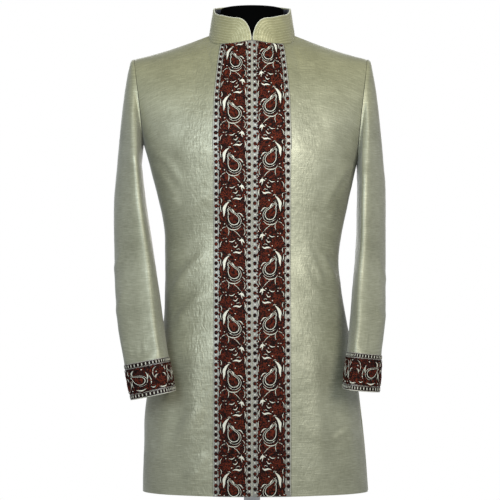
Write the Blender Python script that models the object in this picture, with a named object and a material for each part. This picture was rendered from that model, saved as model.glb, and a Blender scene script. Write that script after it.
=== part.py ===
"""Sherwani coat on a limbless dress form, in metres, +Z up, the coat's front towards -Y.

The coat is cut as two fronts, one back, two sleeves and a stand collar, with an embroidered
facing on each front and round each cuff, and a dark lining inside the collar. Each piece is a
wall of cloth 0.3 mm clear of its neighbours at the seams. "Right" and "left" are the wearer's.
"""
import math

import bmesh
import bpy
import numpy as np

# Cloth and seams.
CLOTH = 0.0015            # raw silk with its interlining
COLLAR_WALL = 0.0022
TRIM_WALL = 0.0012
LINING_WALL = 0.0010
GAP = 0.0003              # between pieces that lie on or beside each other
SEAM = GAP / 2            # each piece's share of a seam
VENT_SET_BACK = 0.0020    # each panel's edge at the open side vents

# Body sections, a row for each height: half widths to the right and left side seams, and
# depths to the front and the back.
BODY_COLUMNS = ("height", "right", "left", "front", "back")
BODY_SECTIONS = (
    (0.547, 0.2140, 0.2295, 0.135, 0.138),
    (0.640, 0.2122, 0.2222, 0.134, 0.137),
    (0.7245, 0.208, 0.2130, 0.131, 0.134),
    (0.754, 0.2025, 0.2095, 0.130, 0.133),
    (0.800, 0.1915, 0.2025, 0.128, 0.130),
    (0.882, 0.1740, 0.1860, 0.122, 0.122),
    (0.945, 0.1715, 0.1755, 0.116, 0.114),
    (1.006, 0.1706, 0.1708, 0.110, 0.107),
    (1.0555, 0.1720, 0.1773, 0.112, 0.108),
    (1.1185, 0.1835, 0.1905, 0.119, 0.115),
    (1.162, 0.1945, 0.2000, 0.1225, 0.120),
    (1.205, 0.2065, 0.2085, 0.125, 0.124),
    (1.240, 0.2165, 0.2130, 0.125, 0.126),
)
VENT_TOP = 0.754
WAIST = 1.006
CHEST = 1.205             # the level where the armhole shaping starts at the centre lines
ROUNDING = 2.3            # superellipse power of a body section
UNDERARM = {"right": 1.227, "left": 1.187}

# Neckline and shoulders.
NECK_HALF = 0.084
NECK_FRONT = 0.070
NECK_BACK = 0.070
NECK_PIT = 1.419
NECK_CENTRE_LIFT = 0.005
NECK_SHOULDER = 1.442
NECK_NAPE = 1.458
SHOULDER_TIP = {"right": 0.2315, "left": 0.2265}
SHOULDER_TIP_HEIGHT = 1.396
SHOULDER_TIP_BACK = 0.008
SHOULDER_SAG = 0.003
ARMHOLE_FRONT = 0.058
ARMHOLE_BACK = 0.066
BACK_FULLNESS = 0.006

# Columns and rows of the panels.
TRIM_WIDTH = 0.074
TRIM_WIDTH_AT_NECK = 0.064
TRIM_TAPER_START = 1.31
TRIM_BELOW_COLLAR = 0.001
NECK_STEPS = 4
SHOULDER_STEPS = 6
UPPER_STEPS = 9
SAMPLES = 61
NECK_SAMPLES = 21         # of an upper row's samples, up to below the neck point

# Sleeve sections, a row for each height down the sleeve: the axis across from the centre line
# and backwards, and the half axes of the section.
SLEEVE_COLUMNS = ("height", "across", "back", "half_across", "half_deep")
SLEEVE_SECTIONS = {
    "right": (
        (1.190, 0.2410, -0.004, 0.0235, 0.088),
        (1.120, 0.2394, -0.012, 0.0306, 0.086),
        (1.020, 0.2309, -0.027, 0.0379, 0.080),
        (0.944, 0.2225, -0.054, 0.0420, 0.074),
        (0.884, 0.2138, -0.087, 0.0434, 0.066),
        (0.815, 0.2004, -0.120, 0.0420, 0.053),
        (0.780, 0.1931, -0.130, 0.0420, 0.049),
        (0.747, 0.1857, -0.138, 0.0421, 0.047),
    ),
    "left": (
        (1.152, 0.2346, -0.006, 0.0272, 0.088),
        (1.100, 0.2339, -0.012, 0.0283, 0.086),
        (1.020, 0.2319, -0.022, 0.0291, 0.083),
        (0.944, 0.2265, -0.048, 0.0319, 0.077),
        (0.895, 0.2225, -0.078, 0.0333, 0.069),
        (0.826, 0.2128, -0.114, 0.0323, 0.058),
        (0.790, 0.2092, -0.124, 0.0333, 0.055),
        (0.756, 0.2056, -0.131, 0.0342, 0.053),
    ),
}
SLEEVE_HEAD_ROLL = 0.006
CUFF_RINGS = 3            # the last rings of the sleeve carry the cuff's facing
CAP_BLENDS = (0.30, 0.62)

# Stand collar.
COLLAR_HEIGHT_FRONT = 0.048
COLLAR_HEIGHT_BACK = 0.051
COLLAR_TOP_SCALE = 0.905
COLLAR_CORNER = 0.034     # length over which the front corner is rounded
COLLAR_NOTCH = 0.002      # from the centre line to the collar's front edge
COLLAR_CORNER_STOPS = (0.0045, 0.009, 0.016)
COLLAR_LEAST = 0.006
COLLAR_ROWS = 3
LINING_DROP = 0.002       # lining's edge below the collar's edge

# Dress form and its stand.
FORM_FOOT = 0.800
FORM_CLEAR_TOP = 0.0005
FORM_CLEAR_BODY = 0.008
FORM_CLEAR_FROM = 1.385
FORM_CLEAR_OVER = 0.12
ARM_PLATE_HOLLOW = 0.004
NECK_FOOT_SCALE = 0.87
NECK_FOOT_DROP = 0.002
FORM_NECK_HALF = 0.062
FORM_NECK_DEEP = 0.058
FORM_NECK_RINGS = ((1.000, 1.462), (0.985, 1.492), (0.93, 1.503))   # scale, height
BASE_RADIUS = 0.19
BASE_HEIGHT = 0.020
BASE_EDGE = 0.002
POLE_RADIUS = 0.016
SOCKET_RADIUS = 0.034
SOCKET_HEIGHT = 0.040
SOCKET_RIM = 0.005
FLANGE_RADIUS = 0.060
FLANGE_HEIGHT = 0.012
TURNED_STEPS = 48

SIGN = {"right": -1.0, "left": 1.0, "front": -1.0, "back": 1.0}


def clear_scene():
    for item in list(bpy.data.objects):
        bpy.data.objects.remove(item, do_unlink=True)


def material(name, colour, roughness, metallic=0.0):
    made = bpy.data.materials.new(name)
    made.use_nodes = True
    shader = made.node_tree.nodes["Principled BSDF"]
    shader.inputs["Base Color"].default_value = (*colour, 1.0)
    shader.inputs["Roughness"].default_value = roughness
    shader.inputs["Metallic"].default_value = metallic
    return made


def read(table, columns, name, station):
    """Reads one column of a table at a height, on a smooth curve through its rows."""
    rows = sorted(table)
    stations = np.array([row[0] for row in rows])
    values = np.array([row[columns.index(name)] for row in rows])
    slopes = np.gradient(values, stations)
    at = int(np.clip(np.searchsorted(stations, station) - 1, 0, len(rows) - 2))
    step = stations[at + 1] - stations[at]
    t = (station - stations[at]) / step
    from_left = values[at] * (1 + 2 * t) * (1 - t) ** 2 + slopes[at] * step * t * (1 - t) ** 2
    from_right = values[at + 1] * t * t * (3 - 2 * t) + slopes[at + 1] * step * t * t * (t - 1)
    return from_left + from_right


def along(line, stops):
    """Points at the given distances along a line of points."""
    steps = np.linalg.norm(np.diff(line, axis=0), axis=1)
    distance = np.concatenate(([0.0], np.cumsum(steps)))
    return np.stack([np.interp(stops, distance, line[:, axis]) for axis in range(3)], axis=1)


def length_of(line):
    return float(np.linalg.norm(np.diff(line, axis=0), axis=1).sum())


def body_row(side, face, height):
    """A quarter of a body section, from the centre line to the side seam."""
    rise = np.clip((height - WAIST) / (CHEST - WAIST), 0.0, 1.0)
    side_height = height + rise * (UNDERARM[side] - CHEST)
    width = read(BODY_SECTIONS, BODY_COLUMNS, side, side_height)
    depth = read(BODY_SECTIONS, BODY_COLUMNS, face, height)
    turn = np.linspace(0.0, 1.0, SAMPLES)
    angle = turn * math.pi / 2
    x = SIGN[side] * width * np.sin(angle) ** (2 / ROUNDING)
    y = SIGN[face] * depth * np.clip(np.cos(angle), 0.0, 1.0) ** (2 / ROUNDING)
    z = height + (side_height - height) * turn ** 2
    return np.stack((x, y, z), axis=1)


def neckline(side, face):
    """A quarter of the neckline, from the centre line to the shoulder seam."""
    turn = np.linspace(0.0, 1.0, SAMPLES)
    angle = turn * math.pi / 2
    x = SIGN[side] * NECK_HALF * np.sin(angle)
    if face == "front":
        y = -NECK_FRONT * np.cos(angle)
        z = NECK_PIT + (NECK_SHOULDER - NECK_PIT) * turn ** 5
        z = z + NECK_CENTRE_LIFT * np.clip(np.cos(angle), 0.0, 1.0) ** 24
    else:
        y = NECK_BACK * np.cos(angle)
        z = NECK_NAPE + (NECK_SHOULDER - NECK_NAPE) * turn ** 2
    return np.stack((x, y, z), axis=1)


def shoulder_seam(side):
    t = np.linspace(0.0, 1.0, SAMPLES)
    x = SIGN[side] * (NECK_HALF + (SHOULDER_TIP[side] - NECK_HALF) * t)
    y = SHOULDER_TIP_BACK * t
    z = NECK_SHOULDER + (SHOULDER_TIP_HEIGHT - NECK_SHOULDER) * t
    z = z - SHOULDER_SAG * np.sin(math.pi * t)
    return np.stack((x, y, z), axis=1)


def centre_line(face, v):
    """Centre front or centre back, from the chest level up to the neckline."""
    depth = read(BODY_SECTIONS, BODY_COLUMNS, face, CHEST)
    if face == "front":
        y = -depth + (depth - NECK_FRONT) * v ** 1.8
        return np.array((0.0, y, CHEST + (NECK_PIT + NECK_CENTRE_LIFT - CHEST) * v))
    y = depth - (depth - NECK_BACK) * v ** 2.4 + BACK_FULLNESS * math.sin(math.pi * v)
    return np.array((0.0, y, CHEST + (NECK_NAPE - CHEST) * v))


def armhole(side, face, v):
    """Armhole, from the underarm up to the shoulder tip."""
    angle = math.pi * v
    rise = (1 - math.cos(angle)) / 2
    bottom = read(BODY_SECTIONS, BODY_COLUMNS, side, UNDERARM[side])
    scoop = ARMHOLE_FRONT if face == "front" else ARMHOLE_BACK
    x = bottom + (SHOULDER_TIP[side] - bottom) * rise ** 1.5
    y = SHOULDER_TIP_BACK * rise + SIGN[face] * scoop * math.sin(angle)
    z = UNDERARM[side] + (SHOULDER_TIP_HEIGHT - UNDERARM[side]) * rise
    return np.array((SIGN[side] * x, y, z))


def upper_row(side, face, v):
    """A row of the patch between chest, centre line, armhole, and neckline with shoulder."""
    low = body_row(side, face, CHEST)
    neck = neckline(side, face)
    high = np.concatenate((neck, shoulder_seam(side)[1:]))
    corner = length_of(neck) / length_of(high)
    beyond = np.linspace(corner, 1.0, SAMPLES - NECK_SAMPLES + 1)[1:]
    u = np.concatenate((np.linspace(0.0, corner, NECK_SAMPLES), beyond))
    low = along(low, u * length_of(low))
    high = along(high, u * length_of(high))
    inner = centre_line(face, v)
    outer = armhole(side, face, v)
    u = u[:, None]
    ruled = (1 - v) * low + v * high + (1 - u) * inner + u * outer
    corners = (1 - u) * ((1 - v) * low[0] + v * high[0]) + u * ((1 - v) * low[-1] + v * high[-1])
    return ruled - corners


def trim_width(height):
    taper = np.clip((height - TRIM_TAPER_START) / (NECK_PIT - TRIM_TAPER_START), 0.0, 1.0)
    return TRIM_WIDTH + (TRIM_WIDTH_AT_NECK - TRIM_WIDTH) * taper


def columns_on(row, neck, face):
    """Sets a row's columns: over the facing, to below the neck point, then to the seam."""
    if face == "front":
        trim = trim_width(row[0][2])
        near = [0.0, trim / 2, trim, (trim + neck) / 2]
    else:
        near = list(np.linspace(0.0, neck, NECK_STEPS + 1)[:-1])
    far = np.linspace(neck, length_of(row), SHOULDER_STEPS + 1)
    return along(row, np.concatenate((near, far)))


def quarter(side, face):
    """Points of a quarter of the body, rows from the hem up, columns from the centre out."""
    heights = [row[0] for row in BODY_SECTIONS if row[0] <= CHEST]
    neck = length_of(neckline(side, face))
    rows = [columns_on(body_row(side, face, height), neck, face) for height in heights]
    for step in range(1, UPPER_STEPS + 1):
        row = upper_row(side, face, step / UPPER_STEPS)
        rows.append(columns_on(row, length_of(row[:NECK_SAMPLES]), face))
    return np.array(rows)


def body_panels():
    """The three panels, with columns running round the body so that they face outwards."""
    back_left = quarter("left", "back")[:, ::-1]
    back_right = quarter("right", "back")
    return {
        "front_right": quarter("right", "front")[:, ::-1],
        "front_left": quarter("left", "front"),
        "back": np.concatenate((back_left, back_right[:, 1:]), axis=1),
    }


def key(point):
    return tuple(int(round(value * 100000)) for value in point)


def facing_normals(grids):
    """Normals at each point, averaged over every panel that meets there."""
    total = {}
    for grid in grids:
        across = grid[1:, 1:] - grid[:-1, :-1]
        up = grid[1:, :-1] - grid[:-1, 1:]
        normal = np.cross(across, up)
        normal /= np.maximum(np.linalg.norm(normal, axis=2, keepdims=True), 1e-9)
        for r in range(normal.shape[0]):
            for c in range(normal.shape[1]):
                for point in (grid[r, c], grid[r, c + 1], grid[r + 1, c], grid[r + 1, c + 1]):
                    total[key(point)] = total.get(key(point), np.zeros(3)) + normal[r, c]
    return {name: value / np.linalg.norm(value) for name, value in total.items()}


def normals_on(grid, normals):
    return np.array([[normals[key(point)] for point in row] for row in grid])


def set_back(grid, left=0.0, right=0.0, bottom=0.0, top=0.0):
    """Moves the edges of a grid inwards, left and right also with a value for each row."""
    out = grid.copy()
    for column, inner, amount in ((0, 1, left), (-1, -2, right)):
        toward = grid[:, inner] - grid[:, column]
        toward /= np.linalg.norm(toward, axis=1, keepdims=True)
        out[:, column] += toward * (np.ones(len(grid)) * amount)[:, None]
    for row, inner, amount in ((0, 1, bottom), (-1, -2, top)):
        toward = out[inner] - out[row]
        toward /= np.linalg.norm(toward, axis=1, keepdims=True)
        out[row] += toward * amount
    return out


def cloth(name, outer, inner, finish, closed=False):
    """A wall between two grids of points, as one closed solid."""
    rows, columns = outer.shape[:2]
    mesh = bmesh.new()
    layers = [[[mesh.verts.new(point) for point in row] for row in grid] for grid in (outer, inner)]

    def strip(a, b, c, d):
        mesh.faces.new((a, b, c))
        mesh.faces.new((a, c, d))

    around = range(columns if closed else columns - 1)
    for layer in layers:
        for r in range(rows - 1):
            for c in around:
                n = (c + 1) % columns
                strip(layer[r][c], layer[r][n], layer[r + 1][n], layer[r + 1][c])
    for r in (0, rows - 1):
        for c in around:
            n = (c + 1) % columns
            strip(layers[0][r][c], layers[0][r][n], layers[1][r][n], layers[1][r][c])
    if not closed:
        for c in (0, columns - 1):
            for r in range(rows - 1):
                strip(layers[0][r][c], layers[0][r + 1][c], layers[1][r + 1][c], layers[1][r][c])
    return finish_mesh(name, mesh, finish)


def finish_mesh(name, mesh, finish):
    bmesh.ops.recalc_face_normals(mesh, faces=mesh.faces[:])
    data = bpy.data.meshes.new(name)
    mesh.to_mesh(data)
    mesh.free()
    data.materials.append(finish)
    data.shade_smooth()
    data.set_sharp_from_angle(angle=math.radians(40))
    item = bpy.data.objects.new(name, data)
    bpy.context.collection.objects.link(item)
    return item


def side_allowance(grid):
    """Set-back of a side seam in each row: a seam above the vent's top, an open edge below."""
    heights = grid[:, grid.shape[1] // 2, 2]
    return np.where(heights < VENT_TOP - 0.001, VENT_SET_BACK, SEAM)


def build_body(panels, normals, silk):
    for name, grid in panels.items():
        facing = normals_on(grid, normals)
        side = side_allowance(grid)
        allowance = {
            "front_right": dict(left=side, right=SEAM),
            "front_left": dict(left=SEAM, right=side),
            "back": dict(left=side, right=side),
        }[name]
        outer = set_back(grid, top=SEAM, **allowance)
        inner = set_back(grid - facing * CLOTH, top=SEAM, **allowance)
        cloth(name, outer, inner, silk)


def build_front_trims(panels, normals, braid):
    """The embroidered facings lie on the first columns of the fronts."""
    for name, columns in (("front_right", slice(-3, None)), ("front_left", slice(0, 3))):
        grid = panels[name][:, columns]
        facing = normals_on(grid, normals)
        edge = dict(left=0.0, right=SEAM) if name == "front_right" else dict(left=SEAM, right=0.0)
        inner = set_back(grid + facing * GAP, top=TRIM_BELOW_COLLAR, **edge)
        outer = set_back(grid + facing * (GAP + TRIM_WALL), top=TRIM_BELOW_COLLAR, **edge)
        cloth(name.replace("front_", "front_trim_"), outer, inner, braid)


def armhole_ring(side):
    """Armhole points from the underarm, up the front edge and down the back edge."""
    front = [armhole(side, "front", step / UPPER_STEPS) for step in range(UPPER_STEPS + 1)]
    back = [armhole(side, "back", step / UPPER_STEPS) for step in range(UPPER_STEPS - 1, 0, -1)]
    return np.array(front + back)


def sleeve_ring(side, height):
    """A section of the sleeve, square to its axis, starting at the point next to the body."""
    def axis_point(station):
        across, back = (read(SLEEVE_SECTIONS[side], SLEEVE_COLUMNS, name, station)
                        for name in ("across", "back"))
        return np.array((SIGN[side] * across, back, station))

    half_across = read(SLEEVE_SECTIONS[side], SLEEVE_COLUMNS, "half_across", height)
    half_deep = read(SLEEVE_SECTIONS[side], SLEEVE_COLUMNS, "half_deep", height)
    first = SLEEVE_SECTIONS[side][0][0]
    axis = axis_point(min(height + 0.01, first)) - axis_point(height - 0.01)
    axis /= np.linalg.norm(axis)
    outward = np.array((SIGN[side], 0.0, 0.0))
    outward -= axis * outward.dot(axis)
    outward /= np.linalg.norm(outward)
    forward = np.array((0.0, -1.0, 0.0))
    forward -= axis * forward.dot(axis)
    forward /= np.linalg.norm(forward)
    angles = np.arange(2 * UPPER_STEPS) * math.pi / UPPER_STEPS
    return np.array([axis_point(height) - outward * half_across * math.cos(angle)
                     + forward * half_deep * math.sin(angle) for angle in angles])


def sleeve_grid(side):
    """Rings of the sleeve from the armhole seam down to the cuff's edge."""
    seam = armhole_ring(side)
    rise = (seam[:, 2] - UNDERARM[side]) / (SHOULDER_TIP_HEIGHT - UNDERARM[side])
    seam = seam + np.array((SIGN[side] * GAP, 0.0, 0.0))
    head = seam.copy()
    head[:, 0] += SIGN[side] * (0.001 + SLEEVE_HEAD_ROLL * rise)
    head[:, 2] -= 0.004 * rise
    first = sleeve_ring(side, SLEEVE_SECTIONS[side][0][0])
    cap = [head + (first - head) * blend for blend in CAP_BLENDS]
    rings = [sleeve_ring(side, row[0]) for row in SLEEVE_SECTIONS[side]]
    return np.array([seam, head] + cap + rings)


def ring_normals(grid):
    """Outward normals of a tube of rings."""
    around = np.roll(grid, -1, axis=1) - np.roll(grid, 1, axis=1)
    down = np.gradient(grid, axis=0)
    normal = np.cross(around, down)
    normal /= np.linalg.norm(normal, axis=2, keepdims=True)
    centre = grid.mean(axis=1, keepdims=True)
    inside = (normal[-1] * (grid[-1] - centre[-1])).sum() < 0
    return -normal if inside else normal


def build_sleeves(panel_normals, silk, braid):
    for side in ("right", "left"):
        grid = sleeve_grid(side)
        facing = ring_normals(grid)
        inner = grid - facing * CLOTH
        seam_facing = np.array([panel_normals[key(point)] for point in armhole_ring(side)])
        seam_facing[:, 0] = 0.0
        seam_facing /= np.linalg.norm(seam_facing, axis=1, keepdims=True)
        inner[0] = grid[0] - seam_facing * CLOTH
        cloth("sleeve_" + side, grid, inner, silk, closed=True)
        cuff = grid[-CUFF_RINGS:]
        cuff_facing = facing[-CUFF_RINGS:]
        cloth("cuff_trim_" + side, cuff + cuff_facing * (GAP + TRIM_WALL),
              cuff + cuff_facing * GAP, braid, closed=True)


def neck_ring():
    """The neckline's points, from the right front's centre edge round to the left front's."""
    right_front = quarter("right", "front")[-1, :NECK_STEPS + 1]
    right_back = quarter("right", "back")[-1, NECK_STEPS - 1::-1]
    left_back = quarter("left", "back")[-1, 1:NECK_STEPS + 1]
    left_front = quarter("left", "front")[-1, NECK_STEPS - 1::-1]
    return np.concatenate((right_front, right_back, left_back, left_front))


def collar_grid(inset, drop):
    """Rows of the stand collar; its height falls to nothing round the front corners."""
    ring = neck_ring()
    total = length_of(ring)
    steps = np.cumsum(np.linalg.norm(np.diff(ring, axis=0), axis=1))[:-1]
    near = np.array((COLLAR_NOTCH,) + COLLAR_CORNER_STOPS)
    stops = np.unique(np.concatenate((near, total - near, steps)))
    foot = along(ring, stops)
    radial = foot * np.array((1 / NECK_HALF ** 2, 1 / NECK_FRONT ** 2, 0.0))
    radial /= np.linalg.norm(radial, axis=1, keepdims=True)
    from_edge = np.minimum(stops, total - stops) - COLLAR_NOTCH
    corner = np.clip(from_edge / COLLAR_CORNER, 0.0, 1.0)
    towards_back = from_edge / from_edge.max()
    height = COLLAR_HEIGHT_FRONT + (COLLAR_HEIGHT_BACK - COLLAR_HEIGHT_FRONT) * towards_back
    height = np.maximum(height * np.sqrt(1 - (1 - corner) ** 2), COLLAR_LEAST) - drop
    foot = foot - radial * inset
    foot[:, 2] += GAP
    rows = []
    for step in range(COLLAR_ROWS + 1):
        share = step / COLLAR_ROWS
        row = foot.copy()
        full = (height * share / COLLAR_HEIGHT_BACK)[:, None]
        row[:, :2] *= 1 - (1 - COLLAR_TOP_SCALE) * full
        row[:, 2] += height * share
        rows.append(row)
    return np.array(rows), radial


def build_collar(silk, satin):
    grid, radial = collar_grid(0.0, 0.0)
    cloth("collar", grid, grid - radial * COLLAR_WALL, silk)
    grid, radial = collar_grid(COLLAR_WALL + 2 * GAP, LINING_DROP)
    cloth("collar_lining", grid, grid - radial * LINING_WALL, satin)


def form_clearance(height):
    below = np.clip((FORM_CLEAR_FROM - height) / FORM_CLEAR_OVER, 0.0, 1.0)
    return FORM_CLEAR_TOP + FORM_CLEAR_BODY * below * below * (3 - 2 * below)


def build_form(panels, normals, jersey):
    """The form fills the coat's body a little inside the cloth, with arm plates and a neck."""
    mesh = bmesh.new()
    made = {}

    def vertex(point):
        name = key(point)
        if name not in made:
            inset = CLOTH + form_clearance(point[2])
            made[name] = mesh.verts.new(point - normals[name] * inset)
        return made[name]

    def strip(a, b, c, d):
        mesh.faces.new((a, b, c))
        mesh.faces.new((a, c, d))

    for grid in panels.values():
        rows = [row for row in grid if row[0][2] >= FORM_FOOT - 0.001]
        for low, high in zip(rows[:-1], rows[1:]):
            for c in range(len(low) - 1):
                strip(vertex(low[c]), vertex(low[c + 1]), vertex(high[c + 1]), vertex(high[c]))

    def close(ring, centre):
        middle = mesh.verts.new(centre)
        for a, b in zip(ring, ring[1:] + ring[:1]):
            mesh.faces.new((a, b, middle))

    for side in ("right", "left"):
        ring = [vertex(point) for point in armhole_ring(side)]
        centre = np.mean([vert.co[:] for vert in ring], axis=0)
        centre[0] -= SIGN[side] * ARM_PLATE_HOLLOW
        close(ring, centre)

    foot_row = [vert for vert in made.values() if abs(vert.co.z - FORM_FOOT) < 0.003]
    for vert in foot_row:
        vert.co.z = FORM_FOOT
    foot_row.sort(key=lambda vert: math.atan2(vert.co.y, vert.co.x))
    close(foot_row, (0.0, 0.0, FORM_FOOT))

    ring_points = neck_ring()[:-1]
    below = [vertex(point) for point in ring_points]
    shapes = [(ring_points * (NECK_FOOT_SCALE, NECK_FOOT_SCALE, 1.0)) - (0, 0, NECK_FOOT_DROP)]
    for scale, height in FORM_NECK_RINGS:
        ring = ring_points * (scale * FORM_NECK_HALF / NECK_HALF,
                              scale * FORM_NECK_DEEP / NECK_FRONT, 0.0)
        shapes.append(ring + (0.0, 0.0, height))
    for shape in shapes:
        above = [mesh.verts.new(point) for point in shape]
        for k in range(len(above)):
            n = (k + 1) % len(above)
            strip(below[k], below[n], above[n], above[k])
        below = above
    close(below, (0.0, 0.0, FORM_NECK_RINGS[-1][1] + 0.001))
    finish_mesh("form_body", mesh, jersey)


def turned(name, profile, finish, bored=False):
    """A solid of revolution from (radius, height) pairs, capped flat, or a ring if bored."""
    mesh = bmesh.new()
    rings = []
    for radius, height in profile:
        angles = [2 * math.pi * k / TURNED_STEPS for k in range(TURNED_STEPS)]
        rings.append([mesh.verts.new((radius * math.cos(a), radius * math.sin(a), height))
                      for a in angles])
    pairs = list(zip(rings[:-1], rings[1:]))
    if bored:
        pairs.append((rings[-1], rings[0]))
    else:
        mesh.faces.new(rings[0])
        mesh.faces.new(rings[-1])
    for low, high in pairs:
        for k in range(TURNED_STEPS):
            n = (k + 1) % TURNED_STEPS
            mesh.faces.new((low[k], low[n], high[n], high[k]))
    return finish_mesh(name, mesh, finish)


def build_stand(metal):
    turned("stand_base", ((BASE_RADIUS - BASE_EDGE, 0.0), (BASE_RADIUS, BASE_EDGE),
                          (BASE_RADIUS, BASE_HEIGHT * 0.45),
                          (BASE_RADIUS * 0.97, BASE_HEIGHT * 0.62),
                          (BASE_RADIUS * 0.30, BASE_HEIGHT)), metal)
    pole_foot = BASE_HEIGHT + GAP
    pole_top = FORM_FOOT - GAP
    turned("stand_pole", ((POLE_RADIUS, pole_foot), (POLE_RADIUS, pole_top)), metal)
    hole = POLE_RADIUS + GAP
    socket_top = pole_foot + SOCKET_HEIGHT
    turned("stand_socket", ((hole, pole_foot), (SOCKET_RADIUS, pole_foot),
                            (SOCKET_RADIUS, pole_foot + SOCKET_HEIGHT * 0.3),
                            (POLE_RADIUS + SOCKET_RIM, socket_top), (hole, socket_top)),
           metal, bored=True)
    flange_top = FORM_FOOT - GAP
    flange_foot = flange_top - FLANGE_HEIGHT
    turned("stand_flange", ((hole, flange_foot), (FLANGE_RADIUS * 0.6, flange_foot),
                            (FLANGE_RADIUS, flange_top - FLANGE_HEIGHT * 0.4),
                            (FLANGE_RADIUS, flange_top), (hole, flange_top)),
           metal, bored=True)


def build():
    clear_scene()
    silk = material("raw_silk", (0.36, 0.35, 0.24), 0.45)
    braid = material("embroidered_facing", (0.11, 0.03, 0.02), 0.7)
    satin = material("collar_satin", (0.02, 0.025, 0.05), 0.35)
    jersey = material("form_jersey", (0.01, 0.01, 0.012), 0.8)
    metal = material("stand_steel", (0.80, 0.80, 0.80), 0.35, 1.0)
    panels = body_panels()
    normals = facing_normals(panels.values())
    build_body(panels, normals, silk)
    build_front_trims(panels, normals, braid)
    build_sleeves(normals, silk, braid)
    build_collar(silk, satin)
    build_form(panels, normals, jersey)
    build_stand(metal)


build()
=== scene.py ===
import math
import random

import bmesh
import bpy
import numpy as np
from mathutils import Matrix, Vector, noise


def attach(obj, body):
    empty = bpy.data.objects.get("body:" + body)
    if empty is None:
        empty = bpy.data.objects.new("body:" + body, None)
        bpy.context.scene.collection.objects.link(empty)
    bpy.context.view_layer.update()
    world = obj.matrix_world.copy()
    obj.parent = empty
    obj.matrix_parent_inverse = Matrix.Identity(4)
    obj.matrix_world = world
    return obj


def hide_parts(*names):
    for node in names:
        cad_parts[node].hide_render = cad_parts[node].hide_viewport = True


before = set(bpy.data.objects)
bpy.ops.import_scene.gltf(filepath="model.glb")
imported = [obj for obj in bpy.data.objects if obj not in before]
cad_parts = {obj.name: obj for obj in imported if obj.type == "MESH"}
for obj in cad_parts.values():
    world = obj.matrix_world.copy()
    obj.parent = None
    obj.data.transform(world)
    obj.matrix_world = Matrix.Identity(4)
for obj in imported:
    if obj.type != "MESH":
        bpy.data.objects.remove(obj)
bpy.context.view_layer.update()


# Camera, floor and lights.
# The coat is seen square on from the height of its waist and 3 m away, as a shop picture is
# taken. A cool softbox on the wearer's right and a warmer one on the left light its front, with
# weak warm light from above and a broad pale light behind.
EYE_HEIGHT = 1.02
EYE_DISTANCE = 3.0
EYE_SIDE = -0.0039
FRAME_WIDTH = 0.985       # seen across the picture in the coat's centre plane
SENSOR = 36.0
FLOOR_RADIUS = 3.0

bpy.ops.object.select_all(action="DESELECT")
bpy.ops.object.camera_add(location=(EYE_SIDE, -EYE_DISTANCE, EYE_HEIGHT),
                          rotation=(math.pi / 2, 0.0, 0.0))
camera = bpy.context.object
camera.data.sensor_width = SENSOR
camera.data.lens = SENSOR * EYE_DISTANCE / FRAME_WIDTH
bpy.context.scene.camera = camera


def softbox(name, place, aim, width, height, power, colour, spread=180.0):
    bpy.ops.object.light_add(type="AREA", location=place)
    box = bpy.context.object
    box.name = name
    box.data.shape = "RECTANGLE"
    box.data.size = width
    box.data.size_y = height
    box.data.energy = power
    box.data.color = colour
    box.data.spread = math.radians(spread)
    box.rotation_euler = (Vector(aim) - Vector(place)).to_track_quat("-Z", "Y").to_euler()


softbox("window_right", (-0.64, -2.05, 1.50), (0.05, 0.0, 1.40), 0.5, 0.8, 8.7,
        (0.80, 0.90, 1.0), spread=92.0)
softbox("lamp_left", (0.80, -1.95, 1.52), (0.0, 0.0, 1.38), 0.5, 0.8, 9.0,
        (1.0, 0.98, 0.90), spread=92.0)
softbox("lamp_above", (0.0, -0.4, 3.2), (0.0, 0.0, 1.2), 2.2, 1.6, 5.0, (1.0, 0.86, 0.50))
softbox("wall_behind", (0.0, 2.4, 1.9), (0.0, 0.0, 1.0), 2.4, 1.8, 26.0, (1.0, 0.98, 0.94))

world = bpy.data.worlds.new("pale_studio")
world.use_nodes = True
sky = world.node_tree
sky.nodes["Background"].inputs["Color"].default_value = (0.92, 0.96, 1.0, 1.0)
sky.nodes["Background"].inputs["Strength"].default_value = 0.41
paper = sky.nodes.new("ShaderNodeBackground")
paper.inputs["Color"].default_value = (1.0, 1.0, 1.0, 1.0)
seen = sky.nodes.new("ShaderNodeLightPath")
either = sky.nodes.new("ShaderNodeMixShader")
sky.links.new(seen.outputs["Is Camera Ray"], either.inputs[0])
sky.links.new(sky.nodes["Background"].outputs[0], either.inputs[1])
sky.links.new(paper.outputs[0], either.inputs[2])
sky.links.new(either.outputs[0], sky.nodes["World Output"].inputs["Surface"])
bpy.context.scene.world = world
bpy.context.scene.view_settings.view_transform = "Standard"


def new_finish(name):
    """A new material, with its node tree and its shader."""
    made = bpy.data.materials.new(name)
    made.use_nodes = True
    return made, made.node_tree, made.node_tree.nodes["Principled BSDF"]


bpy.ops.mesh.primitive_circle_add(vertices=128, radius=FLOOR_RADIUS, fill_type="NGON")
floor = bpy.context.object
floor.name = "studio_floor"
floor_paint, tree, shader = new_finish("pale_floor")
shader.inputs["Base Color"].default_value = (0.9, 0.9, 0.9, 1.0)
shader.inputs["Roughness"].default_value = 0.9
floor.data.materials.append(floor_paint)


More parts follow.
